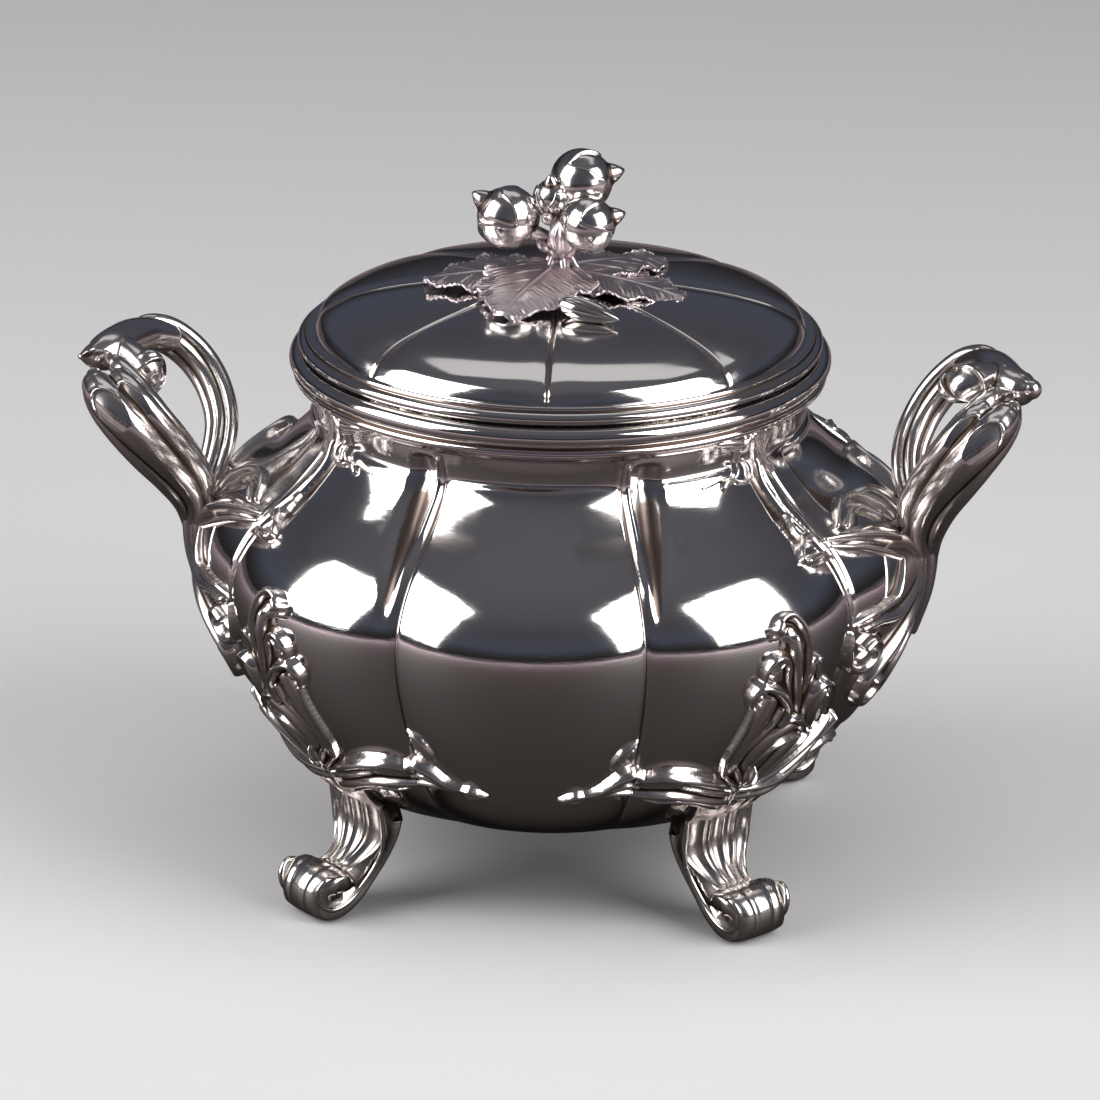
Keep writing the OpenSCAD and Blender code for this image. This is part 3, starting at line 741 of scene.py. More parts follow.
# In this table and those that follow, each row of a stroke is azimuth, height, rise, half-width.
ACANTHUS = [
    # Ground of the leaf.
    [[40.5, 33, 0.9, 5], [42.4, 40, 1.1, 6.4], [45, 47, 1.1, 8.4], [46.4, 54, 1.1, 8.6],
     [45.4, 61, 1.1, 6.8], [44.8, 67, 1.1, 4.8], [44.4, 71.5, 1, 3.4]],
    [[48, 33, 0.8, 3], [54, 38, 1, 3.6], [60, 42, 1, 3]],
    # Hood: a round boss, the rolled rim and the hollow under it.
    [[41.2, 72.8, 3.9, 1.5], [41.8, 73.6, 4, 1.5]],
    [[40.8, 71.4, 2.8, 1], [41.7, 74, 3.5, 1.2], [43.6, 74.9, 3.8, 1.25], [45.2, 73.8, 3.6, 1.15],
     [46.5, 71.2, 3.2, 1.1], [47.3, 68.2, 2.7, 0.9], [47.6, 65, 2.3, 0.8], [47.8, 61.6, 1.7, 0.6]],
    [[43.8, 71.4, 2, 2.2], [45.4, 68.6, 1.9, 2.2]],
    # Tongue.
    [[44.3, 70.4, 3.2, 1.5], [44.6, 67.8, 3.3, 1.8], [45, 65, 2.9, 1.5], [45.6, 61.6, 2.7, 1.25],
     [46.3, 58, 2.6, 1.15], [47.1, 55, 2.3, 1], [48, 51.8, 1.7, 0.7]],
    [[43.1, 66.6, 2.2, 0.55], [43.7, 62, 2.1, 0.55], [44.8, 57.8, 2, 0.5], [46, 54, 1.6, 0.4]],
    # First curled lobe towards the front.
    [[40, 59.8, 1.6, 0.6], [39.2, 62.8, 2.3, 0.8], [39.4, 65.6, 2.9, 0.95], [40.7, 67.5, 3.2, 1],
     [42.3, 67.2, 3, 0.9], [43.4, 65.2, 2.6, 0.8], [43.9, 62, 2.1, 0.7], [44.6, 58.6, 1.7, 0.5]],
    [[41.3, 59.8, 1.6, 0.5], [41, 62.8, 2.1, 0.65], [41.5, 65.2, 2.4, 0.65], [42.5, 65.9, 2.2, 0.45]],
    [[41.6, 60, 1.5, 2.2], [41.6, 64, 1.7, 1.9]],
    # Great volute: its eye, rolled rim and the ribbons that run down from it.
    [[38, 59.6, 3.3, 1.1], [38.4, 60.2, 3.4, 1.15]],
    [[37.5, 57.4, 2.3, 0.9], [37.3, 60, 3, 1.1], [38.7, 62, 3.5, 1.2], [41, 61, 3.8, 1.35],
     [43.3, 58.2, 3.8, 1.4], [44.8, 55.4, 3.5, 1.3], [45.2, 52.8, 2.9, 1], [44.6, 51.2, 2.1, 0.6]],
    [[41.4, 57.8, 2.2, 2.2], [40.6, 54.2, 2.3, 2.5], [39.4, 50, 2.2, 2.3], [38.2, 45.6, 2, 1.9],
     [37.8, 41.4, 1.7, 1.5], [39, 37.6, 1.5, 1.2]],
    [[43.6, 55.2, 2.6, 0.9], [42.7, 52.4, 2.7, 1.1], [41.2, 50.2, 2.7, 1.2], [39.6, 47.6, 2.6, 1.1],
     [38.7, 44.8, 2.3, 0.9], [38.7, 41.6, 2, 0.8], [39.8, 37.8, 1.7, 0.7]],
    [[38.3, 56.6, 2.1, 0.6], [37.8, 52.4, 2.1, 0.65], [37, 48, 2, 0.65], [36.4, 43.8, 1.9, 0.65],
     [37, 39.8, 1.8, 0.6]],
    # Middle leaf folded over the stems, with its rolled head.
    [[44.8, 50.8, 2.7, 0.8], [45.7, 52.2, 3.3, 1], [47.5, 51.8, 3.6, 1.1], [49.4, 50, 3.6, 1.15],
     [50.9, 47.6, 3.2, 0.9]],
    [[48, 50, 2.7, 2.3], [45.6, 49, 2.7, 2.4], [43.4, 47, 2.5, 2.1], [41.6, 44.2, 2.3, 1.7],
     [40.8, 40.8, 2, 1.3], [41.2, 37, 1.6, 1]],
    [[51, 46.6, 2.3, 0.8], [48.4, 46.3, 3, 1.05], [45.8, 46.2, 3.2, 1.15], [43.6, 44.8, 3, 1.15],
     [42.2, 42.4, 2.7, 1], [41.8, 39.4, 2.3, 0.9], [42.2, 36.2, 1.8, 0.7]],
    dab(52.7, 46.4, 3, 1.2),
    dab(54.3, 46.2, 2.4, 0.8),
    # Curled lobe towards the handle.
    [[50.6, 48.4, 1.8, 0.6], [49.3, 52.4, 2.5, 0.85], [49.6, 56.2, 3.1, 1.05], [51.2, 58.4, 3.6, 1.15],
     [53.6, 57.7, 3.6, 1.15], [55.7, 55.2, 3.1, 1], [57.8, 51.2, 2.5, 0.9], [59.8, 46.8, 1.9, 0.7]],
    [[53.3, 56.2, 2.7, 0.6], [52.4, 53.6, 2.7, 0.7], [52.7, 50.4, 2.5, 0.7], [54, 47, 2, 0.6]],
    [[55.4, 53.6, 2.2, 0.6], [55.8, 50.2, 2.1, 0.6], [56.8, 46.6, 1.8, 0.6]],
    [[53, 48, 1.6, 3], [53, 52, 1.9, 2.8], [52.8, 55.4, 2.1, 2.2]],
    # Small lobes beside the tongue.
    [[47.7, 60.4, 1.7, 0.6], [48.2, 63.4, 2.4, 0.8], [49.2, 65.2, 2.9, 0.95], [50.3, 63.6, 2.6, 0.85],
     [50.9, 60.8, 2, 0.7], [51, 58.6, 1.5, 0.5]],
    [[48.8, 59.6, 1.4, 1.6], [49.1, 62.6, 1.7, 1.3]],
    # Ribbons that sweep up towards the handle.
    stroke([[44.6, 33.6, 1.7, 0.8], [47.6, 37.4, 2.3, 1.05], [50, 41, 2.8, 1.25], [52.3, 43.6, 3, 1.15],
            [54.6, 44.8, 2.4, 0.8]], tilt=0.2),
    [[46, 36.2, 1.7, 1.8], [48.6, 41.4, 2, 2.2], [51.4, 45, 1.8, 1.8]],
    stroke([[46.4, 32, 1.7, 0.9], [50.6, 35.8, 2.3, 1.2], [55, 39.4, 2.8, 1.4], [59, 42.8, 3.1, 1.4],
            [61.4, 45.6, 2.7, 1]], tilt=0.2),
    [[49.4, 33.6, 1.6, 2], [55, 37.6, 1.9, 2.5], [60.4, 41.6, 1.8, 2.2]],
    stroke([[48.4, 30.8, 1.6, 0.9], [53.6, 33.4, 2.2, 1.2], [58.8, 36.6, 2.7, 1.45], [63, 40.2, 3, 1.5],
            [65.6, 43.6, 2.6, 1.1]], tilt=0.2),
]


def acanthus():
    s = strokes(ACANTHUS)
    # Palmette at the head of the leg.
    s.append(dab(41.8, 35.6, 2.6, 1.9))
    tips = ((37.2, 36.6, 0.7), (37.0, 39.4, 0.8), (39.0, 41.4, 0.85), (41.4, 41.2, 0.85),
            (43.6, 39.8, 0.8), (45.2, 37.4, 0.7))
    for tip_az, tip_z, wide in tips:
        root_az, root_z = 41.6 + 0.15 * (tip_az - 41.6), 35.4 + 0.2 * (tip_z - 35.4)
        s.append(stroke([[root_az, root_z, 3.2, 0.5],
                         [(root_az + tip_az) / 2, (root_z + tip_z) / 2, 3.8, wide],
                         [tip_az, tip_z, 3.0, 0.35]]))
    s = [(path * [1, 1, 0.88, 0.88], tilt) for path, tilt in s]
    return relief((33.5, 68), (26.5, 77.5), s, blend=0.12)


castings(QUARTERS, "acanthus", acanthus(), "foot_leaf")


FOOT_STRAP = [
    [[40, 33.2, 1.2, 4], [34, 36.2, 1.4, 3.8], [28, 38.4, 1.5, 3.6], [23, 39.4, 1.5, 3],
     [19.4, 40, 1.4, 2.6], [16.4, 38.6, 1.2, 1.8], [13.4, 37.4, 1.1, 1.2]],
    # Upper and lower ribbons with the wide channel between them.
    [[40.6, 35.4, 1.8, 1], [37.6, 36.8, 2.5, 1.2], [34.6, 38.6, 3, 1.3], [31.6, 40.2, 3.2, 1.35],
     [28.6, 41.2, 3.2, 1.35], [25.6, 41.6, 2.9, 1.2], [22.8, 41, 2.4, 1], [20.8, 40, 1.9, 0.7]],
    [[41.8, 30.6, 1.9, 0.9], [38.6, 31.8, 2.4, 1], [35.2, 33.4, 2.8, 1.1], [31.6, 35.2, 3, 1.2],
     [28, 36.4, 3, 1.25], [24.6, 36.7, 2.8, 1.25], [21.4, 36.9, 2.4, 1.2], [18.4, 37.4, 2.1, 1.1],
     [15.6, 37.4, 1.8, 0.9], [13.2, 36.9, 1.4, 0.7]],
    [[40.8, 33.2, 1.9, 0.6], [37, 35, 2.4, 0.7], [33.2, 36.8, 2.6, 0.65], [29.6, 38, 2.3, 0.5]],
    [[42, 28.4, 1.4, 0.6], [38.6, 29.8, 1.8, 0.7], [35.2, 31.8, 2.1, 0.8], [32.2, 33.3, 2.2, 0.8],
     [29.2, 34, 2, 0.8], [26, 33.8, 1.6, 0.7], [23.4, 34.4, 1.2, 0.5]],
    dab(31, 32.6, 1.5, 0.9),
    # Crest that falls towards the tail.
    [[22.6, 40.2, 2, 0.7], [21.4, 41.6, 2.5, 0.9], [19.8, 42.9, 2.9, 1.1], [18, 42.2, 2.9, 1.15],
     [16.2, 40.6, 2.6, 1.05], [14.4, 38.8, 2.2, 0.9], [12.8, 37.8, 1.8, 0.8], [11.6, 37.4, 1.5, 0.6]],
    [[21.4, 38.8, 2.1, 0.8], [19, 39.6, 2.2, 0.9], [16.6, 38.9, 2, 0.8], [14.4, 37.7, 1.6, 0.6]],
    dab(17.6, 35.9, 1.5, 0.9),
    # Bud at the end of the tail.
    [[12.6, 37.1, 1.2, 0.7], [11.2, 36.8, 1.3, 0.9], [9.8, 36.7, 1.7, 1.2], [8.2, 36.3, 1.5, 1],
     [6.7, 35.8, 0.9, 0.4]],
    [[11.4, 37.4, 1.5, 0.4], [9.8, 37.6, 2, 0.45], [8.2, 37, 1.7, 0.35]],
    [[11.2, 36.3, 1.5, 0.35], [9.6, 36.2, 2.1, 0.45], [8, 35.9, 1.7, 0.35]],
    # Crescent beside the crease, with its row of beads.
    [[16, 44.2, 0.5, 0.6], [17, 46, 1, 1.25], [18.3, 48, 1, 1.2], [19.9, 49.9, 0.5, 0.4]],
    [[15.7, 43.7, 0.8, 0.4], [15.8, 45.6, 1.3, 0.45], [16.7, 47.5, 1.4, 0.5], [18, 49.1, 1.2, 0.45],
     [20, 50.3, 0.6, 0.3]],
]


def foot_strap():
    s = strokes(FOOT_STRAP)
    for k in range(5):
        az, z = 16.3 + 0.62 * k, 44.9 + 1.02 * k - 0.03 * k * k
        s.append(stroke([[az - 0.18, z - 0.3, 1.7, 0.4], [az + 0.18, z + 0.3, 1.7, 0.4]], n=1))
    return relief((5.0, 43.5), (26.5, 51.5), s, blend=0.15)


castings(QUARTERS, "foot_strap_cast", foot_strap(), "foot_strap")


FOOT_SCROLL = [
    [[44, 31.4, 1, 3], [52, 31, 1.3, 3.2], [60, 33.4, 1.3, 2.8], [67, 36, 1.1, 2]],
    [[42.8, 33.6, 1.7, 0.8], [46, 33.6, 2.4, 1.1], [49.6, 33.4, 2.8, 1.2], [53.4, 33.4, 2.9, 1.3],
     [57.6, 34.3, 2.8, 1.35], [62, 36, 2.6, 1.35], [66.4, 37.2, 2.4, 1.2], [70.2, 37.6, 2, 0.9],
     [71.8, 36.4, 1.7, 0.7]],
    [[43, 31.4, 1.6, 0.8], [47, 30.9, 2.1, 1], [51, 30.5, 2.5, 1.1], [55.4, 31.1, 2.5, 1.2],
     [60, 32.6, 2.3, 1.15], [64.6, 34.4, 2.1, 1], [68.6, 35.4, 1.7, 0.7]],
    [[44, 29.4, 1.2, 0.6], [48, 28.6, 1.6, 0.8], [52, 28.2, 1.8, 0.9], [56, 29, 1.6, 0.8],
     [60, 30.4, 1.2, 0.5]],
    dab(70.4, 36.3, 2.1, 1),
]

castings(QUARTERS, "foot_scroll_cast", relief((41, 74.5), (25.5, 40), FOOT_SCROLL), "foot_scroll")


# ---------------------------------------------------------------- scrolls at the neck and the shoulder

NECK_SCROLL = [
    # Double rib beside the side lobe's crease.
    [[54.4, 106.2, 1.1, 0.8], [56.2, 102.4, 1.1, 0.75], [56.6, 98.6, 1.4, 0.8], [56.3, 94.6, 1, 0.75],
     [56.8, 90, 0.9, 0.75], [58, 85.7, 0.9, 0.75], [59.2, 81.3, 0.9, 0.75], [59.8, 76, 0.8, 0.65],
     [60.6, 69, 0.6, 0.5], [61.6, 62.7, 0.35, 0.4], [62, 57, 0.15, 0.3]],
    [[58, 106.2, 1, 0.6], [59, 102.4, 0.9, 0.6], [60.4, 99.4, 1, 0.65], [61.9, 97.4, 1.1, 0.6],
     [62.6, 95.8, 0.7, 0.45]],
    [[57.7, 100.6, 0.5, 0.4], [57.7, 97, 0.7, 0.4], [57.4, 93.6, 0.7, 0.4], [58.2, 89.4, 0.65, 0.4],
     [59.3, 85.4, 0.65, 0.4], [60.5, 81, 0.65, 0.4], [61, 76, 0.5, 0.35], [61.7, 69, 0.3, 0.3]],
    # Cast leafage under the rim and the bracket that hangs from it.
    [[43.6, 105.7, 0.5, 0.6], [46.4, 105.4, 1, 1], [49.4, 104.9, 1.3, 1.3], [52.2, 104.9, 1.3, 1.1],
     [54.4, 105.4, 1, 0.8]],
    [[45.6, 104.6, 0.9, 0.4], [48.4, 103.9, 1.5, 0.5], [51.4, 103.6, 1.6, 0.5]],
    [[52.4, 106, 1.5, 0.4], [50.8, 104.4, 1.8, 0.5], [50.5, 102.4, 1.2, 0.6], [50.2, 100.2, 1, 0.55],
     [49.6, 98.4, 1.3, 0.7], [48, 97.3, 1.2, 0.7], [45.8, 97, 1.2, 0.9], [44.6, 96.2, 1, 0.8]],
    [[44.8, 98, 1, 0.6], [42.4, 97.5, 0.8, 0.5], [39.4, 97, 0.3, 0.35]],
    [[49, 96.6, 1, 0.5], [51.2, 96.1, 1.1, 0.55], [53.1, 96.6, 1.1, 0.6], [54, 98.2, 1.1, 0.6],
     [53.6, 99.8, 0.9, 0.4]],
    # Knot of curled ribs on the diagonal lobe, close against the double rib.
    [[57.2, 90.2, 0.6, 0.45], [56.4, 88.2, 0.9, 0.5], [55.7, 86.6, 1.1, 0.6], [55.5, 85.2, 1.2, 0.6]],
    [[59.2, 83.8, 0.9, 0.7], [57.6, 85, 1.5, 0.9], [55.6, 84.9, 1.8, 1], [53.8, 84.1, 1.7, 0.9],
     [52.8, 83.1, 1.4, 0.7]],
    [[59.8, 80.6, 0.8, 0.6], [57.6, 81.7, 1.4, 0.85], [55.2, 81.7, 1.6, 0.85], [53.4, 81.9, 1.5, 0.8]],
    dab(52.5, 82.5, 1.6, 0.8),
]

castings(QUARTERS, "neck_scroll_cast", relief((37.5, 64), (56, 106.3), NECK_SCROLL, blend=0.25),
         "neck_scroll")


SIDE_SCROLL = [
    # Hoop over the root of the handle.
    [[67.2, 84.4, 0.9, 0.6], [70.6, 86.2, 1.4, 0.9], [75, 87.2, 1.8, 1.05], [79, 86, 1.9, 1.05],
     [81.8, 83.4, 1.8, 0.9], [84, 80.6, 1.4, 0.8]],
    [[69.8, 83.8, 0.8, 0.6], [73.6, 85, 1.2, 0.7], [77, 84.5, 1.4, 0.7], [79.8, 82.2, 1.3, 0.7]],
    # Pair of ribs that run from the crease to the root.
    [[62.7, 83.3, 0.5, 0.5], [66.4, 82.7, 1.1, 0.85], [70.8, 81.6, 1.6, 1.05], [75.6, 79.8, 1.8, 1.05],
     [80, 77.6, 1.6, 0.9]],
    [[62.6, 82, 0.4, 0.4], [66, 80.9, 0.9, 0.7], [70.2, 79.4, 1.2, 0.85], [74.4, 76.8, 1.4, 0.85],
     [78.2, 73.8, 1.2, 0.7]],
]

castings(QUARTERS, "side_scroll_cast", relief((60.5, 86.5), (71.5, 89.5), SIDE_SCROLL, blend=0.15),
         "side_scroll")


# ---------------------------------------------------------------- handles

def handle_root():
    """Reeded strap on the side lobe: a flat core and four reeds."""
    root = [[76.4, 0, 81, 4.9], [77.5, 0, 75, 6.2], [77.9, 0, 69, 5.8], [77.3, 0, 62, 4.6],
            [75.4, 0, 54, 2.4]]
    p = spline(root, 5)
    parts = [sweep(p[:, :3], np.tile([1.0, 0, 0], (len(p), 1)), p[:, 3], np.full(len(p), 1.5), 24)]
    for offset, r in ((-4.4, 1.35), (-1.5, 1.65), (1.5, 1.65), (4.4, 1.35)):
        parts.append(rod([[77.2, offset * 0.75, 82, r], [78.6, offset, 75, r * 1.05],
                          [79.0, offset * 0.93, 69, r], [78.3, offset * 0.72, 62, r * 0.85],
                          [76.0, offset * 0.35, 53, r * 0.5]], up=(1, 0, 0)))
    return fuse(parts)


castings(SIDES, "handle_strap", handle_root(), "handle_root")


HANDLE_SHIELD = [
    [[90, 71, 0.9, 13], [90, 63, 1, 26], [90, 56, 1, 27], [90, 48, 0.9, 19], [90, 42, 0.8, 8]],
    # Upper edge and its turn beside the strap.
    [[61.6, 66.2, 0.9, 0.5], [64.6, 67.4, 1.7, 0.75], [68.4, 67.8, 2.1, 0.85], [72.2, 68.6, 2.2, 0.9],
     [74.6, 71.2, 2.1, 0.85], [77.4, 74.4, 1.7, 0.7]],
    # Scroll at the outer corner.
    [[61.2, 64.8, 1, 0.6], [61, 61, 1.7, 0.9], [62.4, 57.4, 2.2, 1.1], [65.4, 55.2, 2.5, 1.2],
     [68.6, 56.2, 2.5, 1.1], [69.6, 59.2, 2.4, 1], [67.6, 61.2, 2.4, 0.9], [65.6, 60, 2.4, 0.8]],
    stroke([[64.4, 64.6, 1.5, 1], [68.6, 65, 1.8, 1.2], [73, 64.4, 2.2, 1.3], [77.2, 65.6, 2.2, 1.2],
            [82, 68, 1.8, 0.9]], tilt=0.2),
    # Leaf that falls from the strap and curls at the side.
    [[84.6, 64, 1.7, 1], [80.2, 61.4, 2.3, 1.3], [76.2, 58.4, 2.7, 1.45], [72.4, 54.8, 2.8, 1.4],
     [69.8, 50.4, 2.7, 1.3], [70.6, 46, 2.6, 1.2], [74.2, 44.2, 2.5, 1.1], [77.2, 46, 2.5, 1],
     [76.6, 48.8, 2.5, 0.9], [74.6, 48.6, 2.4, 0.8]],
    [[82.6, 59, 1.6, 0.8], [79.2, 55.6, 2, 1], [77, 52.2, 1.9, 0.8]],
    [[85.8, 57.6, 1.8, 1], [82.8, 53.6, 2.3, 1.25], [80.8, 49.4, 2.4, 1.25], [81.4, 45, 2.3, 1.1],
     [84.6, 41.8, 2.1, 1], [88.4, 40.6, 1.9, 0.9]],
    [[86.6, 50.6, 1.9, 0.7], [85, 47.6, 2.1, 0.8], [86, 44.6, 2, 0.7]],
]
SHIELD_MIDDLE = [
    [[90, 75, 1.9, 2.2], [90, 66, 2.2, 2.4], [90, 57, 2.5, 2.1], [90, 50, 2.4, 1.5], [90, 45.6, 2.2, 1]],
    dab(90, 43.6, 2.4, 1.7),
    [[90, 42, 1.9, 1.2], [90, 39.4, 1.3, 0.7]],
]

shield = relief((58.5, 121.5), (36.5, 78), reflected(HANDLE_SHIELD) + SHIELD_MIDDLE)
castings(SIDES, "handle_shield_cast", shield, "handle_shield")


def bundle(points, reeds):
    """Parallel reeds along a path: each reed is (side shift, front shift, radius)."""
    p = spline(points, 8)
    t = unit(np.gradient(p[:, :3], axis=0))
    side = unit(np.cross(t, (0.35, -0.85, 0.4)))
    front = np.cross(side, t)
    scale = p[:, 3:4] / p[:, 3].max()
    out = []
    for a, b, r in reeds:
        c = p[:, :3] + side * a * scale + front * b * scale
        w = r * scale[:, 0]
        out.append(sweep(c, front, w, w, 16))
    return out


def leant(shape, degrees):
    """The handle's free part leant towards the bowl about its root."""
    root_x, root_z = 77.0, 72.0
    v = shape[0]
    a = math.radians(degrees) * smooth(root_z, 86, v[:, 2])
    x, z = v[:, 0] - root_x, v[:, 2] - root_z
    moved = np.stack([root_x + x * np.cos(a) - z * np.sin(a), v[:, 1],
                      root_z + z * np.cos(a) + x * np.sin(a)], -1)
    return (moved,) + shape[1:]


FRONT_STRANDS = {
    "outer": [[77.8, -2.4, 65, 1.6], [78, -3.4, 71, 2.2], [77.2, -6.2, 77, 2.7], [78.2, -10.6, 82.6, 3],
              [81.3, -15, 88.4, 3.2], [85.6, -18, 94.2, 3.5], [90.2, -18.8, 99.2, 3.8],
              [94.2, -17.2, 102.8, 3.8], [96.4, -14.4, 104.6, 3.2]],
    "inner": [[76.4, -2.6, 70, 1.2], [74.8, -6, 77.4, 1.8], [75, -10.4, 84, 2.1],
              [77.8, -14, 90.4, 2.3], [81.8, -16.2, 96.2, 2.5], [86, -16.4, 101.2, 2.7],
              [89.6, -14.8, 104.4, 2.7], [91.8, -12.4, 105.8, 2.2]],
    "back": [[75.8, -1.2, 73, 1.2], [74.6, -4.8, 79.6, 1.6], [75.6, -8.8, 86, 1.8],
             [79, -11.6, 92.6, 2], [83.4, -12.2, 98.2, 2.2], [88, -10.4, 102.8, 2.4],
             [92, -7, 105.4, 2.4], [94.4, -3.6, 106.2, 2]],
    "under": [[79.2, -1.6, 69, 1.4], [79.8, -6, 76, 2.1], [82.4, -11.2, 82.6, 2.5],
              [86.8, -15, 89, 2.7], [91.4, -16.4, 95, 2.8], [95.2, -15.4, 99.6, 2.7],
              [97.4, -12.6, 102.8, 2.4], [98, -8.4, 104.6, 1.8]],
}


def front_branch():
    """Four strands twisted together, the outer two ending in spoon-like hollows."""
    shape = fuse([rod(rows, n=8, sides=20) for rows in FRONT_STRANDS.values()])
    # Spoon-like ends of the two front strands.
    along = np.array([0.66, 0.1, 0.7])
    shape = pressed(shape, (92.2, -21.4, 101.4), (0.05, -0.95, 0.3), along, (5.4, 3.0), 0.7, 0.35, True)
    shape = pressed(shape, (87.8, -18.0, 103.0), (-0.1, -0.95, 0.3), along, (4.6, 1.9), 0.45, 0.3, True)
    return with_hollows(shape, FUSED_REACH)


def rear_branch():
    """Three parallel reeds in front of a thicker core."""
    path = [[77.8, 2.2, 68, 2.3], [77, 4.4, 75, 2.9], [74.8, 8.4, 82.4, 3.3], [74.4, 13, 88.6, 3.5],
            [76.8, 17.8, 94.4, 3.6], [81, 20.6, 99.8, 3.7], [86.2, 20.2, 104.4, 3.7],
            [90.4, 16.4, 106.8, 3.5], [92.4, 12, 107.6, 3]]
    parts = bundle(path, [(-2.45, 0.3, 1.75), (0.05, 1.15, 1.9), (2.5, 0.3, 1.75), (0.0, -1.0, 2.7)])
    return fuse(parts)


def handle_tip(thumb, facing, blunt):
    """Curled end of the handle: a pointed fleshy leaf, and a thumb that flares to an oval hollow."""
    end = np.asarray(thumb, float)
    face = unit(np.array(facing, float))
    parts = [rod([[87.2, 18.8, 105.0, 3.3], [90.8, 14.4, 106.6, 3.9], [93.2, 9.4, 107.3, 4.3],
                  [95.0, 4.6, 107.5, 4.3], [96.6, 0.6, 107.3, 4.2], [98.6, -2.0, 107.1, 3.4 + 0.5 * blunt],
                  [100.4, -3.2, 107.2, 2.1 + 1.3 * blunt],
                  [101.7, -4.0, 107.3, 0.7 + 1.5 * blunt]], n=8, sides=26)]
    root = np.array([95.2, 2.6, 107.4])
    parts.append(rod([[*root, 3.0], [*(root * 0.6 + end * 0.4 + (0, 0, 0.9)), 3.1],
                      [*(root * 0.25 + end * 0.75 + (0, 0, 0.5)), 3.6], [*(end - face * 1.8), 3.8]],
                     up=(0, 0.3, 1), n=8, sides=26))
    parts.append(ball(end - face * 1.5, (5.4, 4.0, 2.2), face, 30))
    # Rail along the crown of the leaf.
    parts.append(rod([[93.0, 6.2, 111.2, 0.4], [95.6, 1.2, 111.0 + 0.3 * blunt, 0.55],
                      [97.8, -2.4, 110.0, 0.55], [99.4, -4.4, 109.0 + 0.9 * blunt, 0.5],
                      [100.9, -4.9, 108.0 + 1.1 * blunt, 0.4]], sides=12))
    shape = fuse(parts)
    shape = pressed(shape, end, face, np.array([1.0, -0.3, -0.5]), (4.9, 3.4), 1.4, 0.35)
    if not blunt:
        shape = pressed(shape, (97.6, -4.4, 106.8), (0.15, -0.95, 0.1), np.array([1.0, 0.0, 0.05]),
                        (3.6, 2.3), 0.5, 0.25, True)
    return with_hollows(shape, FUSED_REACH)


# The two handles have been bent a little differently.  Each row gives the side, how far the
# handle leans in, where its thumb ends, which way the thumb faces, and how blunt the leaf is.
HANDLES = {"left": (-1, 0.0, (86.6, -5.2, 104.0), (-0.42, -0.84, -0.05), 0.0),
           "right": (1, 4.0, (87.4, -5.0, 109.4), (-0.05, -0.82, 0.55), 1.0)}
branches = {"front_branch": front_branch(), "rear_branch": rear_branch()}

for name, (side, lean, thumb, facing, blunt) in HANDLES.items():
    for stem, shape in {**branches, "tip": handle_tip(thumb, facing, blunt)}.items():
        piece(f"handle_{stem}_cast_{name}", mirrored(leant(shape, lean), side, 1), cast, "bowl",
              f"handle_{stem}_{name}")


# ---------------------------------------------------------------- lid

# The lid sits turned by a few degrees on the bowl.
TURN = 3.3
LID_WALL, LID_RADIUS = 0.95, 51.9
DOME = spline([[51.9, 116.65], [51.3, 118.4], [50.0, 120.2], [47.0, 121.9], [42, 123.7], [33, 125.65],
               [20, 127.35], [8, 128.05], [2.3, 128.25]], 8)


def turned(shape, degrees=TURN):
    a = math.radians(degrees)
    m = np.array([[math.cos(a), math.sin(a), 0], [-math.sin(a), math.cos(a), 0], [0, 0, 1]])
    return (shape[0] @ m,) + shape[1:]


def dome_dip(az, r):
    """Depth of the eight radial creases, which widen towards the edge."""
    d = np.radians(np.abs((az + 22.5) % 45 - 22.5)) * r
    edge = smooth(40, 51, r)
    fold = 0.42 * bell(d / 0.42) + (0.28 + 0.25 * edge) * bell(d / (2.4 + 1.6 * edge))
    return smooth(3, 16, r) * fold


def lid_dome():
    part = np.concatenate([np.linspace(0, 5, 14, endpoint=False), np.linspace(5, 40, 20, endpoint=False),
                           np.linspace(40, 45, 14, endpoint=False)])
    az = np.concatenate([part + 45 * k for k in range(8)])
    tangent = unit(np.gradient(DOME, axis=0))
    rows, under = [], []
    for i, (r, z) in enumerate(DOME):
        low = z - dome_dip(az, r) * smooth(0, 10, i)
        rows.append(around(az, r, low))
        n = np.array([-tangent[i][1], tangent[i][0]])
        n = -n if n[1] < 0 else n
        inner_r = min(r, LID_RADIUS) - n[0] * LID_WALL if i < len(DOME) - 1 else r
        under.append(around(az, inner_r, low - max(n[1], 0.0) * LID_WALL))
    shape = skin(np.concatenate([rows, under[::-1]]), closed=True)
    return turned(with_hollows(shape, 6, 0.08))


piece("lid_dome_sheet", lid_dome(), lidded, "lid", "lid_dome")
lid_profile = np.concatenate([
    [[50.9, 113.4], [53.6, 113.4]], arc(54.0, 114.65, 1.24, -84, 66, 14),
    [[54.2, 115.95], [53.6, 115.95], [53.4, 116.05]], arc(53.0, 116.5, 0.5, -20, 110, 8),
    [[52.4, 117.05], [51.9, 117.0], [51.2, 116.4]]])
piece("lid_rim_moulding", with_hollows(lathe(lid_profile), 8, 0.1), moulding, "lid",
      "lid_rim")


# ---------------------------------------------------------------- finial

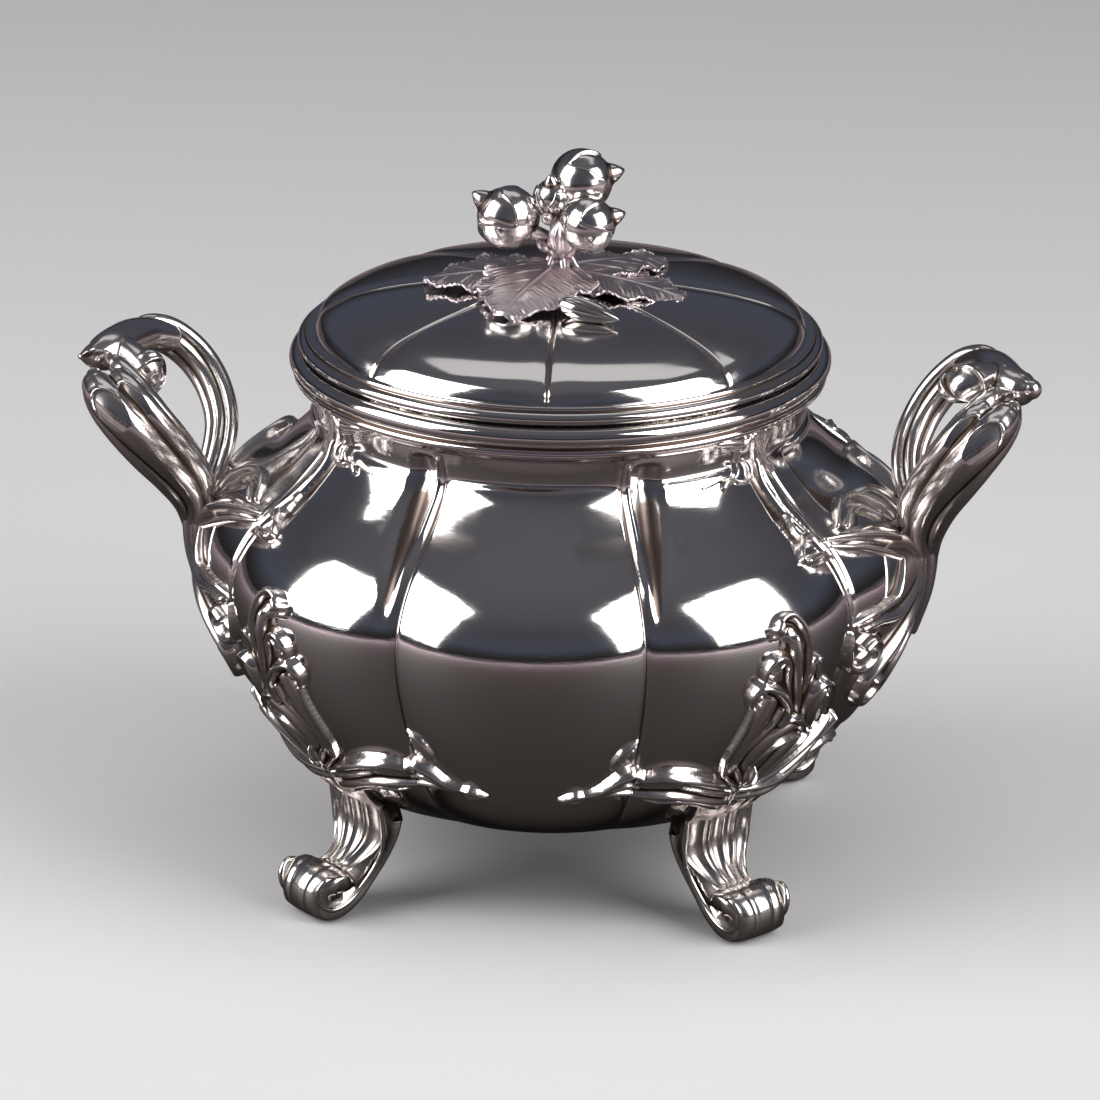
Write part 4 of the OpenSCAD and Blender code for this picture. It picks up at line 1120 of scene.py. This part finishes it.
def vine_leaf(a, reach, half_w, z0, droop, teeth, wave):
    """Leaf with a toothed edge, raised veins and a curled rim, turned to azimuth -a."""
    m, n = ((260, 100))
    u = np.linspace(0, 1, m)[:, None]
    s = np.linspace(-1, 1, n)[None, :]
    side = np.abs(s)
    y = 2.2 + (reach - 2.2) * u
    tooth = np.abs((u * teeth) % 1 - 0.35)
    nick = np.abs(np.sin(np.pi * teeth * 2.5 * u))
    w = half_w * (0.1 + np.clip(np.sin(np.radians(180 * u ** 0.72 * 0.965 + 3)), 0, 1) ** 0.8)
    w = w * (1 + (0.13 * (0.5 - tooth) + 0.035 * nick) * smooth(0.05, 0.25, u))
    x = s * w
    y = y - 1.6 * side ** 1.5 * (1 - u) * 1.2 + 0.5 * (0.5 - tooth) * side ** 3
    vein = (y - 0.85 * np.abs(x)) / reach * 5.0
    ridge = bell(((vein + 0.5) % 1 - 0.5) / 0.07) * smooth(0.04, 0.2, side) * (1 - smooth(0.6, 0.95, side))
    fine = np.sin((y - 0.6 * np.abs(x)) * 5.2 + 0.8 * np.sin(y)) * smooth(0.1, 0.35, side)
    hem = smooth(0.86, 0.97, side)
    z = (z0 + 0.95 - droop * u ** 2 - 0.7 * s ** 2 + 0.24 * ridge + 0.05 * fine
         + 0.4 * bell(x / 0.45) * (1 - 0.5 * u)
         + 0.55 * smooth(0.6, 1.0, side) * np.sin(2 * np.pi * teeth * 0.5 * u + 1.2)
         + hem * (0.12 + 0.3 * nick)
         + wave * np.sin(2.4 * np.pi * u + 0.6) * s)
    top = np.stack([x, -y, z], -1)
    low = top.copy()
    low[..., 2] -= 0.95 - 0.35 * side
    # The under face is drawn in a little so that the rim is round.
    low[..., 0] *= 0.985
    shape = skin(np.concatenate([top, low[:, ::-1]], 1))
    return turned(turned(with_hollows(shape, 10, 0.12), a), TURN)


LEAVES = {"left": (-82, 28.8, 9.6, 129.3, 2.0, 8, 0.5), "front": (-22, 27.8, 11.2, 130.4, 3.2, 7, -0.6),
          "right": (72, 27.4, 9.2, 128.9, 3.0, 8, 0.4), "back": (126, 26.2, 8.6, 129.5, 2.6, 7, 0.7)}

for name, args in LEAVES.items():
    piece(f"finial_leaf_{name}", vine_leaf(*args), satin, "lid", f"leaf_{name}")

# Centre, direction of the point, radius and turn of each nut.
CROWN = np.array([0.0, 0.0, 134.5])
NUTS = {"left": ((-11.2, -2.3, 141.4), (-0.72, -0.12, 0.55), 6.3, 0.3),
        "top": ((4.0, 4.4, 147.9), (0.9, 0.1, 0.25), 6.3, 0.1),
        "right": ((6.3, -4.6, 141.2), (0.93, 0.15, 0.3), 5.6, 0.8),
        "small": ((-1.8, 1.2, 144.8), (-0.1, -0.35, 0.9), 4.2, 0.5)}


def nut(centre, direction, r, phase):
    """Kernel with a short point, seated in a husk of ribbed bracts."""
    d, e, f = axes(direction)
    t = np.linspace(0, 2 * np.pi, 120, endpoint=False)

    def ring(rad, h):
        rad = np.broadcast_to(rad, t.shape)
        return (np.asarray(centre) + np.outer(rad * np.cos(t), e) + np.outer(rad * np.sin(t), f)
                + np.outer(np.broadcast_to(h, t.shape), d))

    rings = []
    for k in np.radians(np.linspace(-86, 66, 24)):
        flute = 1 + 0.012 * np.cos(10 * t) * math.cos(k)
        rings.append(ring(r * 0.985 * math.cos(k) * flute, r * math.sin(k)))
    for rad, h in ((0.34, 1.0), (0.31, 1.08), (0.25, 1.18), (0.16, 1.3), (0.05, 1.42)):
        rings.append(ring(r * rad, r * h))
    # Husk of three pointed bracts, ribbed along their length.
    lobe = np.abs(np.cos(1.5 * t + phase))
    edge = np.radians(-14 + 64 * lobe ** 1.3 + 3 * np.cos(11 * t))
    keel = 0.03 * bell((1 - lobe) / 0.12) + 0.022 * np.cos(30 * t) ** 2
    outer, inner = [], []
    for p in np.linspace(0, 1, 26):
        ang = -np.pi / 2 + 0.04 + (edge + np.pi / 2 - 0.04) * p
        rib = 1.055 + keel * math.sin(math.pi * min(1, 0.15 + p)) + 0.02 * bell((p - 0.95) / 0.05)
        outer.append(ring(r * rib * np.cos(ang), r * rib * np.sin(ang)))
        inner.append(ring(r * 0.94 * np.cos(ang), r * 0.94 * np.sin(ang)))
    return with_hollows(join([skin(rings), skin(np.concatenate([outer, inner[::-1]]))]), 5, 0.1)


for name, args in NUTS.items():
    piece(f"hazelnut_{name}", nut(*args), kernel, "lid", f"nut_{name}")


def outwards(az):
    """Horizontal direction at azimuth az."""
    a = math.radians(az)
    return math.sin(a), -math.cos(a)


SHOOT = np.array([0.8, -5.0, 138.4])
SMALL_BUDS = ((-20, 136.4, 1.5), (-62, 135.2, 1.3), (24, 135.6, 1.4), (-5, 139.6, 1.7), (70, 136.2, 1.3),
              (130, 136.8, 1.4), (190, 136.0, 1.4), (-110, 136.4, 1.3), (-34, 141.6, 1.3))


def twig():
    """Stem of the finial: a branch to each nut, small buds, young shoots and a spread foot."""
    parts = [rod([[0, 0, 128.6, 3.4], [0, 0, 130.4, 2.7], [0, 0, 132.4, 2.5], [0, 0, 134.6, 3.0]],
                 up=(0, 1, 0)),
             ball(CROWN, (3.3, 3.3, 2.9))]
    for centre, direction, r, _ in NUTS.values():
        end = np.asarray(centre) - unit(np.asarray(direction, float)) * r * 0.8
        mid = (CROWN + end) / 2 + np.array([0, 0, 0.6])
        parts.append(rod([[*CROWN, 1.9], [*mid, 1.5], [*end, 2.1]], up=(0.3, 1, 0.2)))
    # Small bracts and buds crowded round the head of the stem.
    for k, (az, z, r) in enumerate(SMALL_BUDS):
        x, y = ((3.4 + 0.5 * (k % 3)) * c for c in outwards(az))
        parts.append(ball((x, y, z), (r, r, r * 1.3), (x, y, 3.0), 12))
        parts.append(rod([[x * 0.5, y * 0.5, z - 1.5, 0.7], [x * 1.05, y * 1.05, z - 0.2, 0.6],
                          [x * 1.35, y * 1.35, z + 1.0, 0.35]], up=(0.1, 0.2, 1), sides=8))
    # Knob of young shoots in front of the stem, ribbed from top to bottom.
    parts.append(ball(SHOOT, (2.5, 2.3, 3.5), n=24))
    for k in range(7):
        x, y = outwards(30 * k - 90)
        parts.append(rod([[0.8 + 0.8 * x, -5.0 + 0.8 * y, 141.6, 0.35],
                          [0.8 + 2.5 * x, -5.0 + 2.3 * y, 138.8, 0.5],
                          [0.8 + 1.7 * x, -4.6 + 1.6 * y, 135.6, 0.45],
                          [0.5 * x, -2.6 + 0.5 * y, 133.4, 0.5]], up=(x, y, 0), sides=8))
    for k in range(6):
        x, y = outwards(60 * k + 15)
        parts.append(rod([[2.2 * x, 2.2 * y, 132.8, 0.7], [3.1 * x, 3.1 * y, 131.0, 0.8],
                          [4.4 * x, 4.4 * y, 129.9, 0.6]], up=(x, y, 0), sides=8))
    return fuse(parts, VOXEL * 0.75)


piece("finial_stem", twig(), satin, "lid", "finial_twig")


def bud():
    """Closed bud that lies on the dome, its three scales lapped lengthwise."""
    rows = spline([[0.05, -1.0], [1.5, -0.4], [2.55, 3.0], [2.15, 7.4], [1.0, 10.6], [0.1, 12.3]], 8)
    t = np.linspace(0, 2 * np.pi, 40, endpoint=False)
    d, e, f = axes((0.955, -0.24, -0.155))
    rings = []
    for r, h in rows:
        lap = 1 - 0.13 * bell(((t * 3 / (2 * np.pi) + h * 0.03) % 1 - 0.5) / 0.09)
        rings.append(np.array([3.2, -23.6, 129.6]) + d * h + np.outer(r * lap * np.cos(t), e)
                     + np.outer(r * lap * np.sin(t), f))
    return with_hollows(skin(rings), 5, 0.1)


piece("front_bud_closed", bud(), kernel, "lid", "bud_front")


# ---------------------------------------------------------------- CAD nodes that stay

KEPT = {"lid_bezel": lidded, "finial_stud": hidden, "finial_washer": hidden, "finial_nut": hidden}

for obj in list(bpy.context.scene.objects):
    if obj.type == "MESH" and obj.name in KEPT:
        for k in range(len(obj.material_slots)):
            obj.material_slots[k].material = KEPT[obj.name]


# ---------------------------------------------------------------- stage, light and camera

def mixed(tree, ray, usual, special):
    """The usual colour, and the special one for rays of the given kind."""
    chosen = add(tree, "LightPath").outputs[ray]
    return add(tree, "Mix", {"Factor": chosen, 6: usual, 7: special}, data_type="RGBA").outputs[2]


def stage_floor():
    """Pale round floor, made as a fan of triangles; rays mirrored off the silver see a painted dark
    reflection instead.
    """
    n, radius = 96, 4.5
    t = np.linspace(0, 2 * np.pi, n, endpoint=False)
    v = [(0.0, 0.0, 0.0)] + [(radius * math.cos(a), radius * math.sin(a), 0.0) for a in t]
    mesh = bpy.data.meshes.new("floor")
    mesh.from_pydata(v, [], [(0, 1 + k, 1 + (k + 1) % n) for k in range(n)])
    obj = linked("floor", mesh)
    mat = bpy.data.materials.new("pale floor with painted reflection")
    tree = new_tree(mat)
    noise = add(tree, "TexNoise", {"Scale": 3.0}).outputs["Fac"]
    pale = ramp(tree, noise, [(0.0, (0.66, 0.65, 0.645)), (1.0, (0.70, 0.69, 0.685))])
    # Rays mirrored off the silver see a painted reflection instead of the pale floor: brown and dark, with
    # a painted shadow that is darkest near the bowl, so that the silver's lower half keeps its depth.
    place = add(tree, "TexCoord").outputs["Object"]
    away = add(tree, "VectorMath", {0: place}, operation="LENGTH").outputs["Value"]
    # table: the painted dark reflection, its painted shadow darkest close to the bowl.
    table = ramp(tree, away, [(0.08, (0.016, 0.012, 0.010)), (0.3, (0.062, 0.044, 0.046)),
                              (0.6, (0.17, 0.13, 0.14)), (1.0, (0.42, 0.33, 0.36))])
    fill(tree, tree.nodes["Principled BSDF"],
         {"Base Color": mixed(tree, "Is Glossy Ray", pale, table), "Roughness": 0.75})
    obj.data.materials.append(mat)


# Middle of the bowl in metres, which the lights face.
LIT = Vector((0, 0, 0.08))


def softbox(name, az, el, distance, wide, high, power):
    data = bpy.data.lights.new(name, "AREA")
    data.shape, data.size, data.size_y = "RECTANGLE", wide, high
    data.energy = power
    obj = linked(name, data)
    a, e = math.radians(az), math.radians(el)
    away = Vector((math.sin(a) * math.cos(e), -math.cos(a) * math.cos(e), math.sin(e)))
    obj.location = LIT + distance * away
    obj.rotation_euler = (LIT - obj.location).to_track_quat("-Z", "Y").to_euler()
    return obj


def sky():
    """Dim room that the silver mirrors, and an even pale backdrop for the camera."""
    world = bpy.data.worlds.new("studio")
    tree = new_tree(world)
    place = add(tree, "TexCoord").outputs["Generated"]
    split = add(tree, "SeparateXYZ", {0: place})
    room = ramp(tree, split.outputs["Z"],
                [(0.0, (0.10, 0.09, 0.09)), (0.03, (0.014, 0.012, 0.013)), (0.16, (0.035, 0.035, 0.042)),
                 (0.3, (0.06, 0.068, 0.095)), (0.6, (0.065, 0.063, 0.075)), (1.0, (0.11, 0.11, 0.125))])
    seen = mixed(tree, "Is Camera Ray", room, (0.5, 0.49, 0.485, 1))
    fill(tree, tree.nodes["Background"], {0: seen, 1: 1.0})
    bpy.context.scene.world = world


def camera():
    """Long lens in front of the bowl, a little to its right and above it."""
    data = bpy.data.cameras.new("camera")
    data.sensor_width, data.lens = 36.0, 200.06
    data.clip_start, data.clip_end = 0.05, 50
    obj = linked("camera", data)
    place, target = Vector((0.13458, -1.21547, 0.51113)), Vector((-0.001859, -0.000209, 0.06713))
    look = (target - place).to_track_quat("-Z", "Y").to_matrix().to_4x4()
    obj.matrix_world = Matrix.Translation(place) @ look @ Matrix.Rotation(math.radians(0.42), 4, "Z")
    bpy.context.scene.camera = obj


stage_floor()
# Name, azimuth, elevation, distance, width, height (all in metres and degrees) and power in watts.
softbox("left softbox", -66, 29, 1.3, 1.0, 1.1, 16)
softbox("right softbox", 66, 29, 1.3, 1.0, 1.1, 16)
softbox("top softbox", 178, 68, 1.4, 1.2, 0.5, 1.0)
softbox("fill", 20, 80, 1.6, 1.6, 1.6, 9).visible_glossy = False
sky()
camera()
bpy.context.scene.view_settings.view_transform = "Standard"
